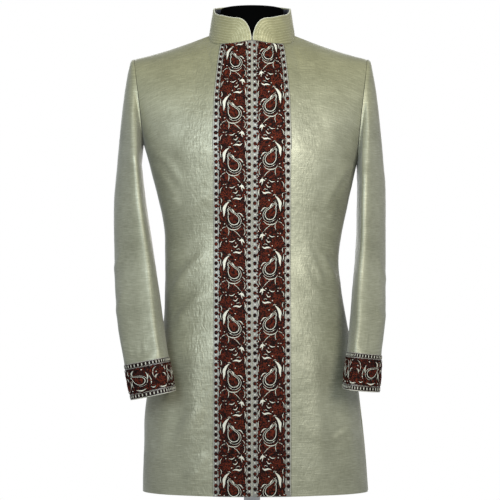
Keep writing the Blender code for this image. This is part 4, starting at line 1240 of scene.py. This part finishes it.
def band_repeat():
    """One repeat of the band, x from the field's outer edge and y downwards, in mm."""
    kinds = {name: new_work() for name in ("maroon", "dark", "ivory")}
    kept = [(27.0, 29.0, 14.5), (19.0, 14.0, 7.0), (15.0, 85.0, 9.0), (38.5, 7.0, 8.5),
            (38.5, 112.0, 8.5), (8.0, 10.0, 4.0), (36.0, 54.0, 8.0), (9.0, 55.0, 6.0)]
    fill_leaves(kinds, (0.5, 0.0), (51.0, REPEAT_DRAWN), kept, 4.2, 41, (999.0, REPEAT_DRAWN))
    for x, y, angle, length, width in (
            (1.0, 17.0, 1.35, 12.0, 4.4), (2.4, 42.0, -1.35, 13.0, 4.6), (3.0, 30.0, 0.3, 6.0, 3.2),
            (49.0, 20.0, 1.75, 11.0, 4.6), (50.0, 44.0, -1.9, 12.0, 4.6),
            (46.0, 33.0, 0.4, 6.5, 3.6), (45.5, 84.0, 1.7, 12.0, 5.0), (49.5, 72.0, 2.3, 9.0, 4.2),
            (2.0, 66.0, 0.9, 9.0, 4.2), (27.0, 100.0, -0.9, 11.0, 4.8),
            (20.0, 103.0, 0.7, 9.0, 4.0), (5.0, 101.0, 1.1, 10.0, 4.0)):
        leaf(kinds, x, y, angle, length, width, tone=0.6, rise=0.9)
    paisley(kinds, 27.5, 30.0)
    # Bell-shaped bud below the paisley, with a pale vein and edge.
    for angle, length in ((0.15, 13.0), (0.75, 14.5), (1.35, 14.0), (1.95, 12.0)):
        leaf(kinds, 30.0, 46.5, angle, length, 7.0, tone=0.55, rise=0.9)
    outlined(kinds, ((24.5, 47.5), (29.0, 51.5), (34.5, 56.0), (40.5, 63.0)),
             (0.5, 1.9, 1.7, 0.7), rise=0.5, foot=1.7)
    outlined(kinds, ((46.0, 45.0), (48.8, 51.0), (47.8, 58.0), (41.5, 64.5)),
             (0.6, 1.5, 1.7, 0.7), rise=0.5)
    # Oval bud with its crescent.
    for angle in (0.9, 1.45, 2.0):
        leaf(kinds, 9.0, 47.5, angle, 14.0, 6.6, tone=0.4, rise=0.9)
    outlined(kinds, ((14.0, 43.0), (7.0, 45.5), (2.6, 51.0), (2.4, 58.5)),
             (0.6, 1.6, 1.6, 0.6), rise=0.5, foot=1.6)
    outlined(kinds, ((4.0, 62.5), (8.5, 66.3), (14.5, 65.5)),
             (0.6, 2.2, 0.6), rise=0.5)
    flower(kinds, 15.0, 85.0, 11.5, 12)
    flower(kinds, 38.5, 6.5, 10.5, 11, turn=0.35)
    # Pale slivers and gaps between the motifs.
    for line, widths in (
            (((19.5, -5.5), (13.5, 0.5), (9.6, 8.0), (9.4, 15.0), (8.4, 24.0)),
             (0.8, 6.0, 8.8, 5.8, 0.8)),
            (((3.2, 1.5), (2.6, 8.0), (4.0, 15.0)), (0.5, 2.2, 0.5)),
            (((23.5, 8.5), (27.0, 13.0), (28.6, 18.5)), (0.8, 3.6, 0.8)),
            (((23.0, 12.5), (28.5, 13.5)), (0.6, 1.8, 0.6)),
            (((34.0, 17.5), (40.0, 18.0), (45.5, 24.5)), (0.6, 3.0, 0.9)),
            (((43.5, 36.0), (47.0, 39.5), (49.2, 44.0)), (0.5, 1.5, 0.5)),
            (((17.5, 47.5), (18.6, 53.0), (17.2, 60.0)), (0.6, 1.8, 0.6)),
            (((37.5, 70.5), (43.2, 69.0), (48.2, 74.5)), (1.0, 7.2, 0.9)),
            (((43.0, 64.0), (42.6, 71.0), (44.4, 79.0)), (0.6, 3.2, 0.6)),
            (((19.0, 71.5), (25.0, 72.5), (30.5, 69.0)), (0.6, 2.8, 0.6)),
            (((27.0, 81.0), (32.0, 82.5), (36.0, 77.5)), (0.6, 3.0, 0.6)),
            (((26.5, 94.0), (33.0, 92.5), (39.5, 93.8), (44.0, 90.5)), (0.6, 4.4, 4.8, 0.6)),
            (((48.5, 85.0), (50.3, 92.0), (49.4, 99.0)), (0.6, 2.8, 0.6)),
            (((6.0, 71.0), (3.0, 76.0), (2.8, 82.0)), (0.5, 1.8, 0.5)),
            (((3.5, 92.0), (5.6, 97.0), (4.4, 102.0)), (0.5, 2.0, 0.6)),
            (((17.0, 97.5), (20.5, 96.5), (23.5, 98.5)), (0.5, 1.6, 0.5)),
            (((19.5, 20.0), (16.0, 12.0), (18.5, 7.0), (22.0, 5.5)), (0.6, 1.4, 1.4, 0.5)),
            (((33.5, 88.0), (37.0, 86.0), (41.0, 87.0)), (0.5, 1.5, 0.5)),
            (((49.8, 3.0), (50.6, 9.0), (49.6, 15.0)), (0.6, 1.9, 0.6))):
        outlined(kinds, line, widths, rise=0.45, foot=2.0, tone=0.8)
    for x, y in ((22.0, 41.5), (33.5, 38.5), (13.8, 71.5), (32.0, 74.5), (46.5, 28.5), (10.0, 38.0),
                 (24.5, 89.5), (1.8, 36.5), (36.2, 66.8), (50.4, 62.0), (30.5, 3.0)):
        knot(kinds["ivory"], x, y, 1.1, foot=2.0, rise=0.5, sides=6, tone=0.8)
    return kinds


def laid(work):
    """All the shapes of a piece of work: across, down and height, thread map, tone and faces."""
    points = np.concatenate(work["points"])
    return (points[:, 0], points[:, 1], points[:, 2], np.concatenate(work["map"]),
            np.concatenate(work["tone"]), work["faces"])


class Surface:
    """Looks up a place on a grid of cloth by its distance across and down, in mm."""

    def __init__(self, grid, facing, across, down, wrap=False):
        self.grid, self.facing, self.wrap = grid, facing, wrap
        self.across, self.down = across, down

    def place(self, across, down, lift):
        rows, columns = self.grid.shape[:2]
        r = np.interp(down, self.down, np.arange(rows))
        if self.wrap:
            c = (across / self.across) % 1.0 * columns
        else:
            c = np.clip(across / self.across, 0.0, 1.0) * (columns - 1)
        r0 = np.clip(r.astype(int), 0, rows - 2)
        c0 = np.clip(c.astype(int), 0, columns - (1 if self.wrap else 2))
        c1 = (c0 + 1) % columns
        fr, fc = (r - r0)[:, None], (c - c0)[:, None]

        def blend(table):
            return ((table[r0, c0] * (1 - fc) + table[r0, c1] * fc) * (1 - fr)
                    + (table[r0 + 1, c0] * (1 - fc) + table[r0 + 1, c1] * fc) * fr)

        facing = blend(self.facing)
        facing /= np.linalg.norm(facing, axis=1, keepdims=True)
        return blend(self.grid) + facing * lift[:, None] * MM, facing


def thread_piece(name, surface, parts, limits, finish):
    """One mesh of worked shapes laid on a surface, cut off at its upper and lower limits."""
    points, facings, maps, tones, faces, start = [], [], [], [], [], 0
    for across, down, lift, thread_map, tone, part_faces in parts:
        inside = (down > limits[0]) & (down < limits[1])
        placed, facing = surface.place(across, down, lift)
        points.append(placed)
        facings.append(facing)
        maps.append(thread_map * MM)
        tones.append(tone)
        faces += [tuple(int(k) + start for k in face) for face in part_faces
                  if all(inside[k] for k in face)]
        start += len(across)
    points, facings = np.concatenate(points), np.concatenate(facings)
    maps, tones = np.concatenate(maps), np.concatenate(tones)
    first = np.array([face[:3] for face in faces])
    turned = np.cross(points[first[:, 1]] - points[first[:, 0]],
                      points[first[:, 2]] - points[first[:, 0]])
    inward = (turned * facings[first[:, 0]]).sum(axis=1) < 0
    faces = [face[::-1] if back else face for face, back in zip(faces, inward.tolist())]
    used = np.zeros(len(points), dtype=bool)
    used[[k for face in faces for k in face]] = True
    renumber = np.cumsum(used) - 1
    faces = [tuple(int(renumber[k]) for k in face) for face in faces]
    points, maps, tones = points[used], maps[used], tones[used]
    mesh = bpy.data.meshes.new(name)
    mesh.from_pydata(points.tolist(), [], faces)
    order = np.array([k for face in faces for k in face])
    mesh.uv_layers.new(name="thread_map").data.foreach_set("uv", maps[order].ravel())
    shade = mesh.attributes.new("tone", "FLOAT", "POINT")
    shade.data.foreach_set("value", tones)
    mesh.shade_smooth()
    mesh.materials.append(finish)
    return new_piece(name, mesh)


def thread_finish(name, dark, light, roughness, cloudy=1.0, pitch=0.00042):
    """Silk thread laid side by side across a shape, its shade from the shape's own tone."""
    made, tree, shader = new_finish(name)
    place = add_node(tree, "UVMap", uv_map="thread_map")
    apart = add_node(tree, "SeparateXYZ", {0: place.outputs[0]})
    slant = maths(tree, "MULTIPLY", apart.outputs["Y"], 0.45)
    strand = maths(tree, "PINGPONG", maths(tree, "ADD", apart.outputs["X"], slant), pitch / 2)
    strand = maths(tree, "DIVIDE", strand, pitch / 2)
    shade = add_node(tree, "Attribute", attribute_name="tone")
    where = add_node(tree, "TexCoord")
    cloud = add_node(tree, "TexNoise", {"Vector": where.outputs["Object"], "Scale": 250.0,
                                        "Detail": 2.0})
    mixed = maths(tree, "ADD", maths(tree, "MULTIPLY", shade.outputs["Fac"], 0.5),
                  maths(tree, "MULTIPLY", cloud.outputs["Fac"], 1.6 * cloudy))
    mixed = maths(tree, "SUBTRACT", mixed, 0.8 * cloudy - 0.22)
    mixed = maths(tree, "ADD", mixed, maths(tree, "MULTIPLY", strand, 0.18))
    tree.links.new(tones_of(tree, mixed, 0.30, dark, 0.85, light), shader.inputs["Base Color"])
    ridges = add_node(tree, "Bump", {"Strength": 0.5, "Distance": 0.0002, "Height": strand})
    tree.links.new(ridges.outputs[0], shader.inputs["Normal"])
    shader.inputs["Roughness"].default_value = roughness
    shader.inputs["Specular IOR Level"].default_value = 0.10
    return made


THREADS = {
    "maroon": thread_finish("maroon_thread", (0.004, 0.0010, 0.0008), (0.094, 0.0135, 0.0046),
                            0.7, cloudy=1.4),
    "dark": thread_finish("dark_outline_thread", (0.004, 0.002, 0.0015), (0.010, 0.004, 0.003),
                          0.7),
    "ivory": thread_finish("ivory_thread", (0.33, 0.325, 0.26), (0.63, 0.62, 0.525),
                           0.5, cloudy=0.3),
}
FIELD_THREAD = thread_finish("maroon_ground_thread", (0.008, 0.002, 0.0015),
                             (0.034, 0.008, 0.006), 0.75)
BAND_SILK = silk("ivory_band_silk", (0.122, 0.119, 0.105), (0.213, 0.208, 0.185),
                 shine=0.15, slub=0.6)
GROUND_COLUMNS = 13
GROUND_STEP = 1.7         # mm between its rows


def embroider(place, side, surface, ground, parts, limits):
    """The ground and the three threads of a band, each a piece of its own."""
    pieces = [thread_piece(place + "_ground_" + side, surface, [ground], limits, FIELD_THREAD)]
    for kind, finish in THREADS.items():
        pieces.append(thread_piece(place + "_" + kind + "_thread_" + side, surface, parts[kind],
                                   limits, finish))
    for piece in pieces:
        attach(piece, "root")
    return pieces


def worked_ground(low, high, start, end, step, seed, lift=0.95):
    """The close-stitched ground of the field, with scalloped edges across low and high."""
    downs = np.arange(start, end, step)

    def scalloped(scallop, wander, shift):
        return (0.9 * np.abs(np.sin(math.pi * downs / scallop + seed))
                + 0.7 * np.sin(downs / wander + shift))

    wave, other = scalloped(7.3, 3.1, 2 * seed), scalloped(6.1, 2.7, seed)
    share = np.linspace(0.0, 1.0, GROUND_COLUMNS)
    across = (low + wave)[:, None] * (1 - share) + (high - other)[:, None] * share
    down = np.repeat(downs[:, None], GROUND_COLUMNS, axis=1)
    index = np.arange(down.size).reshape(down.shape)
    faces = np.stack((index[:-1, :-1], index[:-1, 1:], index[1:, 1:], index[1:, :-1]), axis=-1)
    return (across.ravel(), down.ravel(), np.full(down.size, lift),
            np.stack((down.ravel(), across.ravel()), axis=1), np.full(down.size, 0.5),
            faces.reshape(-1, 4).tolist())


repeat = band_repeat()
for side in ("right", "left"):
    name = "front_" + side
    grid, facing = SHAPED[name], NORMALS[name]
    if side == "right":
        columns = slice(-TRIM_COLUMNS - 1, None)
        edges = dict(left=0.0, right=SEAM)
    else:
        columns = slice(0, TRIM_COLUMNS + 1)
        edges = dict(left=SEAM, right=0.0)
    grid, facing = grid[:, columns], facing[:, columns]
    under = set_back(grid + facing * BAND_LIFT, top=BELOW_COLLAR, **edges)
    over = set_back(grid + facing * (BAND_LIFT + BAND_WALL), top=BELOW_COLLAR, **edges)
    band = wall_of_cloth("front_band_" + side, over, under,
                         cloth_map(name, PANELS[name])[:, columns])
    band.data.materials.append(BAND_SILK)
    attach(band, "root")
    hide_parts("front_trim_" + side)

    downward, downward_facing = grid[::-1], facing[::-1]
    if side == "right":
        downward, downward_facing = downward[:, ::-1], downward_facing[:, ::-1]
    down = distances(downward[:, 0]) / MM
    surface = Surface(downward, downward_facing, TRIM_WIDTH / MM, down)
    limits = (WORK_STARTS, down[-1] - WORK_ENDS)
    parts = {kind: [] for kind in repeat}
    for k in range(math.ceil((down[-1] - FIRST_REPEAT[side]) / REPEAT[side])):
        for kind, work in repeat.items():
            across, at, *rest = laid(work)
            at = FIRST_REPEAT[side] + k * REPEAT[side] + at * REPEAT[side] / REPEAT_DRAWN
            wobble = WOBBLE * np.sin(at / 23.0 + 2.0 * k)
            parts[kind].append((FIELD_START + FIELD_WIDTH - across + wobble, at, *rest))
    # Rows of dots with small pale beads between them.
    dots, beads, rims = new_work(), new_work(), new_work()
    for line in DOT_LINES:
        shift = 0.35 if line == DOT_LINES[0] else 0.0
        for k in range(int(down[-1] / DOT_PITCH[side])):
            at = (k + 0.5 + shift) * DOT_PITCH[side] + 0.5 * math.sin(5.1 * k + line)
            off = line + 0.35 * math.sin(3.7 * k + line)
            shade = 0.15 + 0.2 * math.sin(k)
            knot(rims, off, at, RIM_RADIUS, rise=0.15, foot=0.85, sides=10)
            knot(dots, off, at, DOT_RADIUS, rise=0.9, foot=0.95, sides=10, tone=shade)
            at += 0.5 * DOT_PITCH[side]
            knot(beads, off, at, BEAD_RADIUS, rise=0.9, foot=0.85, tone=0.8)
    for kind, work in (("maroon", dots), ("ivory", beads), ("dark", rims)):
        parts[kind].append(laid(work))
    # Fine cords: pale on both sides of each row of dots, and dark along the band's two edges.
    stops = np.arange(0.0, down[-1] + 3.0, 3.0)
    for off, width, kind, foot in ((1.1, 1.4, "ivory", 0.85), (9.7, 0.6, "ivory", 0.85),
                                   (64.1, 0.6, "ivory", 0.85), (72.7, 1.1, "ivory", 0.9),
                                   (73.75, 0.5, "dark", 0.95), (0.35, 0.45, "dark", 0.82)):
        work = new_work()
        strip(work, [(off + 0.15 * math.sin(stop / 11.0 + off), stop) for stop in stops],
              [width, width], rise=0.45, foot=foot, tone=0.1, count=1)
        parts[kind].append(laid(work))
    ground = worked_ground(FIELD_START, FIELD_START + FIELD_WIDTH, limits[0] + 0.5,
                           limits[1] - 0.5, GROUND_STEP, 0.7 if side == "right" else 1.9)
    pieces = embroider("band", side, surface, ground, parts, limits)


# Embroidered cuff bands.
# A band of the same work round each sleeve's end, 72 mm deep, on dark silk: paisleys, flowers
# and pale crescents between two rows of dark bars and pale slivers, with a corded lower edge.
CUFF_FIELD = (10.5, 60.5)     # mm down from the band's upper edge
CUFF_REPEATS = 4
CUFF_CELL = 70.0              # mm, the width at which one repeat is drawn
CUFF_START = 0.15             # turn of the first repeat, as a share of one
FIELD_ABOVE_EDGE = 11.5       # mm from the field to the band's lower edge
UPPER_BARS = 5.2              # mm below the band's upper edge
LOWER_BARS = 5.6              # mm above its lower edge
BAR_PITCH = 6.4
BAR_WIDTH = 3.8
BAR_HALF = 3.1                # half its height
CUFF_SILK = silk("dark_cuff_silk", (0.012, 0.004, 0.003), (0.040, 0.014, 0.010),
                 shine=0.05, slub=0.6)


def cuff_repeat():
    """One repeat of the cuff, x round the sleeve and y downwards, in mm."""
    kinds = {name: new_work() for name in ("maroon", "dark", "ivory")}
    kept = [(20.0, 38.0, 13.5), (17.0, 24.0, 7.0), (53.0, 44.0, 8.0), (52.0, 22.0, 6.5)]
    fill_leaves(kinds, (0.0, 12.5), (CUFF_CELL, 59.0), kept, 4.4, 77, (CUFF_CELL, 999.0))
    paisley(kinds, 20.0, 38.0, size=0.84, turn=0.5, flip=-1.0, hook=False)
    outlined(kinds, ((3.0, 48.0), (1.8, 38.0), (4.5, 27.0)),
             (0.6, 1.8, 0.6), foot=1.8, rise=0.5)
    outlined(kinds, ((38.0, 36.0), (37.2, 44.0), (40.5, 52.5)),
             (0.6, 1.9, 0.6), foot=1.9, rise=0.5)
    outlined(kinds, ((58.5, 14.0), (64.5, 18.5), (67.0, 27.0), (65.0, 36.0)),
             (0.6, 1.6, 1.9, 0.6), foot=1.9, rise=0.5)
    flower(kinds, 53.0, 44.0, 10.0, 11)
    flower(kinds, 52.5, 23.0, 7.5, 9, turn=0.3)
    for x, y, angle in ((8.0, 57.0, -0.6), (30.0, 57.5, -2.4), (43.0, 57.0, -0.9),
                        (64.0, 57.5, -2.2), (33.0, 16.0, 1.2), (69.0, 17.0, 1.9)):
        leaf(kinds, x, y, angle, 10.0, 4.6, tone=0.6, foot=1.6)
    for line, widths in (
            (((8.0, 22.0), (6.0, 30.0), (8.0, 38.0)), (0.6, 3.4, 0.6)),
            (((28.0, 15.0), (32.5, 20.0), (31.0, 27.0)), (0.8, 4.4, 0.6)),
            (((12.0, 55.5), (20.0, 58.0), (29.5, 55.0)), (0.7, 4.2, 0.7)),
            (((33.0, 34.0), (35.0, 41.0), (33.5, 49.0)), (0.6, 2.4, 0.6)),
            (((41.5, 37.0), (43.5, 31.0), (48.0, 30.0)), (0.6, 2.8, 0.6)),
            (((58.0, 30.5), (62.0, 32.0), (63.5, 38.0)), (0.6, 2.8, 0.6)),
            (((43.5, 53.5), (47.0, 57.5), (54.0, 57.8), (60.0, 55.5)), (0.6, 3.0, 3.0, 0.6)),
            (((39.5, 15.0), (41.5, 19.5), (40.0, 25.0)), (0.6, 2.6, 0.6)),
            (((66.0, 53.5), (70.0, 55.5), (74.0, 53.0)), (0.6, 2.6, 0.6))):
        outlined(kinds, line, widths, rise=0.5, foot=2.0, tone=0.8)
    for x, y in ((35.0, 29.5), (2.0, 44.0), (46.0, 14.5), (60.5, 24.5), (14.0, 15.5), (36.5, 56.0)):
        knot(kinds["ivory"], x, y, 1.1, foot=2.0, rise=0.5, sides=6, tone=0.8)
    return kinds


repeat = cuff_repeat()
for side in ("right", "left"):
    name = "sleeve_" + side
    level = SHAPED[name][:, :, 2].mean(axis=1)
    rows = slice(int(np.argmax(level < CUFF_TOP[side] + 0.001)), None)
    grid, facing = SHAPED[name][rows], NORMALS[name][rows]
    girth = np.linalg.norm(grid - np.roll(grid, 1, axis=1), axis=2).sum(axis=1).mean() / MM
    down = distances(grid[:, SLEEVE_AROUND // 4]) / MM
    depth = np.tile(-down[:, None] * MM, (1, SLEEVE_AROUND))
    uv = np.stack((distances_across(grid), depth), axis=-1)
    cuff = wall_of_cloth("cuff_band_" + side, grid + facing * (BAND_LIFT + BAND_WALL),
                         grid + facing * BAND_LIFT, uv, closed=True)
    cuff.data.materials.append(CUFF_SILK)
    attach(cuff, "root")
    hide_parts("cuff_trim_" + side)
    surface = Surface(grid, facing, girth, down, wrap=True)
    cell = girth / CUFF_REPEATS
    low, high = CUFF_FIELD[0], down[-1] - FIELD_ABOVE_EDGE
    parts = {kind: [] for kind in repeat}
    for k in range(CUFF_REPEATS):
        for kind, work in repeat.items():
            across, at, *rest = laid(work)
            across = (k + CUFF_START) * cell + across * cell / CUFF_CELL
            at = low + (at - CUFF_FIELD[0]) * (high - low) / (CUFF_FIELD[1] - CUFF_FIELD[0])
            parts[kind].append((across, at, *rest))
    rows_of = {kind: new_work() for kind in repeat}
    bars = round(girth / BAR_PITCH)
    for at, turn in ((UPPER_BARS, 0.0), (down[-1] - LOWER_BARS, 0.4)):
        for k in range(bars):
            bar = (k + turn) * girth / bars
            strip(rows_of["dark"], ((bar, at - BAR_HALF), (bar + 0.25, at + BAR_HALF)),
                  [BAR_WIDTH, BAR_WIDTH], rise=0.5, foot=0.95, count=2)
            between = bar + 0.5 * girth / bars
            strip(rows_of["ivory"], ((between, at - 2.4), (between + 0.2, at + 2.2)),
                  [1.5, 1.8, 1.4], rise=0.7, foot=0.95, count=2, tone=0.55)
    stops = np.arange(0.0, girth + 2.0, 2.0)
    for at, width, kind, wave in ((0.6, 0.6, "ivory", 0.0), (9.3, 0.4, "ivory", 0.5),
                                  (down[-1] - 10.2, 0.4, "ivory", 0.5),
                                  (down[-1] - 0.8, 1.1, "ivory", 0.0)):
        strip(rows_of[kind], [(stop, at + wave * math.sin(stop * 1.1)) for stop in stops],
              [width, width], rise=0.5, foot=0.9, tone=0.6, count=1)
    for kind, work in rows_of.items():
        if work["points"]:
            parts[kind].append(laid(work))
    across, at, *rest = worked_ground(low, high, 0.0, girth + 1.0, GROUND_STEP, 1.1)
    pieces = embroider("cuff", side, surface, (at, across, *rest), parts, (0.0, down[-1] + 0.01))


# Dress form.
# A limbless torso of hard shell under matt black jersey, which fills the coat's chest and
# shoulders a little inside the cloth, with flat arm plates and a short neck.
FORM_FOOT = 0.800
FORM_CLEAR_TOP = 0.0005
FORM_CLEAR_BODY = 0.008
FORM_CLEAR_FROM = 1.385
FORM_CLEAR_OVER = 0.12
FORM_THIN = 3             # takes every third row and column of the cloth
NECK_STUB = 0.87          # the neck's foot, as a share of the neckline's width and depth
NECK_STUB_DROP = 0.002
FORM_NECK = (             # half width, half depth, height
    (0.0635, 0.0592, 1.460), (0.0632, 0.0589, 1.475), (0.0629, 0.0586, 1.4865),
    (0.0624, 0.0581, 1.4910), (0.0608, 0.0565, 1.4935), (0.048, 0.045, 1.4942),
    (0.024, 0.0225, 1.4944),
)


def form_inset(height):
    below = np.clip((FORM_CLEAR_FROM - height) / FORM_CLEAR_OVER, 0.0, 1.0)
    return CLOTH + FORM_CLEAR_TOP + FORM_CLEAR_BODY * below * below * (3 - 2 * below)


def thinned(count, step):
    kept = list(range(0, count, step))
    return kept if kept[-1] == count - 1 else kept + [count - 1]


form = bmesh.new()
for name, grid in PANELS.items():
    rows = [r for r in thinned(len(grid), FORM_THIN) if grid[r, middle // 2, 2] > FORM_FOOT]
    half = thinned(middle + 1, FORM_THIN)
    columns = {"front_left": half, "front_right": sorted(middle - c for c in half),
               "back": sorted({middle - c for c in half} | {middle + c for c in half})}[name]
    grid = grid[np.ix_(rows, columns)]
    facing = NORMALS[name][np.ix_(rows, columns)]
    points = grid - facing * form_inset(grid[..., 2])[..., None]
    points[0, :, 2] = FORM_FOOT
    verts = [[form.verts.new(point) for point in row] for row in points]
    for low, high in zip(verts[:-1], verts[1:]):
        for k in range(len(low) - 1):
            form.faces.new((low[k], low[k + 1], high[k + 1], high[k]))
bmesh.ops.remove_doubles(form, verts=form.verts[:], dist=0.0004)
below = [vert for vert in form.verts if vert.is_boundary and vert.co.z > NECK_PIT - 0.01
         and math.hypot(vert.co.x, vert.co.y) < NECK_HALF + 0.002]
below.sort(key=lambda vert: math.atan2(vert.co.y / NECK_DEEP, vert.co.x / NECK_HALF))
turns = [math.atan2(vert.co.y / NECK_DEEP, vert.co.x / NECK_HALF) for vert in below]
foot = [vert.co.copy() for vert in below]
neck_rings = [[Vector((NECK_STUB * point.x, NECK_STUB * point.y, point.z - NECK_STUB_DROP))
               for point in foot]]
for share in (0.25, 0.5, 0.75):
    ease = 1 - (1 - share) ** 2
    neck_rings.append([Vector((start.x + (FORM_NECK[0][0] * math.cos(turn) - start.x) * ease,
                               start.y + (FORM_NECK[0][1] * math.sin(turn) - start.y) * ease,
                               start.z + (FORM_NECK[0][2] - start.z) * share))
                       for start, turn in zip(neck_rings[0], turns)])
neck_rings += [[Vector((wide * math.cos(turn), deep * math.sin(turn), height)) for turn in turns]
               for wide, deep, height in FORM_NECK]
for ring in neck_rings:
    above = [form.verts.new(point) for point in ring]
    for k in range(len(above)):
        n = (k + 1) % len(above)
        form.faces.new((below[k], below[n], above[n], above[k]))
    below = above
cap = form.verts.new((0.0, 0.0, FORM_NECK[-1][2] + 0.0004))
for k in range(len(below)):
    form.faces.new((below[k], below[(k + 1) % len(below)], cap))
holes = bmesh.ops.holes_fill(form, edges=form.edges[:], sides=0)["faces"]
bmesh.ops.inset_individual(form, faces=holes, thickness=0.004, depth=-0.003)
bmesh.ops.triangulate(form, faces=holes)
bmesh.ops.recalc_face_normals(form, faces=form.faces[:])
mesh = bpy.data.meshes.new("dress_form")
form.to_mesh(mesh)
form.free()
mesh.shade_smooth()
dress_form = new_piece("dress_form", mesh)
jersey, tree, shader = new_finish("black_jersey")
where = add_node(tree, "TexCoord")
knit = add_node(tree, "TexVoronoi", {"Vector": where.outputs["Object"], "Scale": 900.0})
knit = knit.outputs["Distance"]
shade = stretched(tree, knit, (0.0, 1.0), (0.0003, 0.0010))
tree.links.new(shade, shader.inputs["Base Color"])
loops = add_node(tree, "Bump", {"Strength": 0.35, "Distance": 0.0003, "Height": knit})
tree.links.new(loops.outputs[0], shader.inputs["Normal"])
shader.inputs["Roughness"].default_value = 0.9
shader.inputs["Specular IOR Level"].default_value = 0.015
dress_form.data.materials.append(jersey)
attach(dress_form, "root")
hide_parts("form_body")


# Stand.
# A turned steel base, socket, pole and flange, brushed round their axes.
BRUSH_LINES = 900.0       # to the metre
steel, tree, shader = new_finish("brushed_stand_steel")
where = add_node(tree, "TexCoord").outputs["Object"]
apart = add_node(tree, "SeparateXYZ", {0: where})
across, back = (maths(tree, "POWER", apart.outputs[axis], 2.0) for axis in ("X", "Y"))
from_axis = maths(tree, "SQRT", maths(tree, "ADD", across, back))
lines = add_node(tree, "CombineXYZ", {
    "X": maths(tree, "MULTIPLY", from_axis, BRUSH_LINES),
    "Y": maths(tree, "MULTIPLY", apart.outputs["Z"], BRUSH_LINES)})
brush = add_node(tree, "TexNoise", {"Vector": lines.outputs[0], "Scale": 1.0, "Detail": 3.0})
brush = brush.outputs["Fac"]
smear = add_node(tree, "TexNoise", {"Vector": where, "Scale": 9.0}).outputs["Fac"]
for value, onto, socket in ((brush, (0.30, 0.46), "Roughness"),
                            (smear, (0.50, 0.68), "Base Color")):
    tree.links.new(stretched(tree, value, (0.3, 0.7), onto), shader.inputs[socket])
scratches = add_node(tree, "Bump", {"Strength": 0.10, "Distance": 0.0002, "Height": brush})
tree.links.new(scratches.outputs[0], shader.inputs["Normal"])
shader.inputs["Metallic"].default_value = 1.0
for name in ("stand_base", "stand_socket", "stand_pole", "stand_flange"):
    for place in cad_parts[name].material_slots:
        place.material = steel
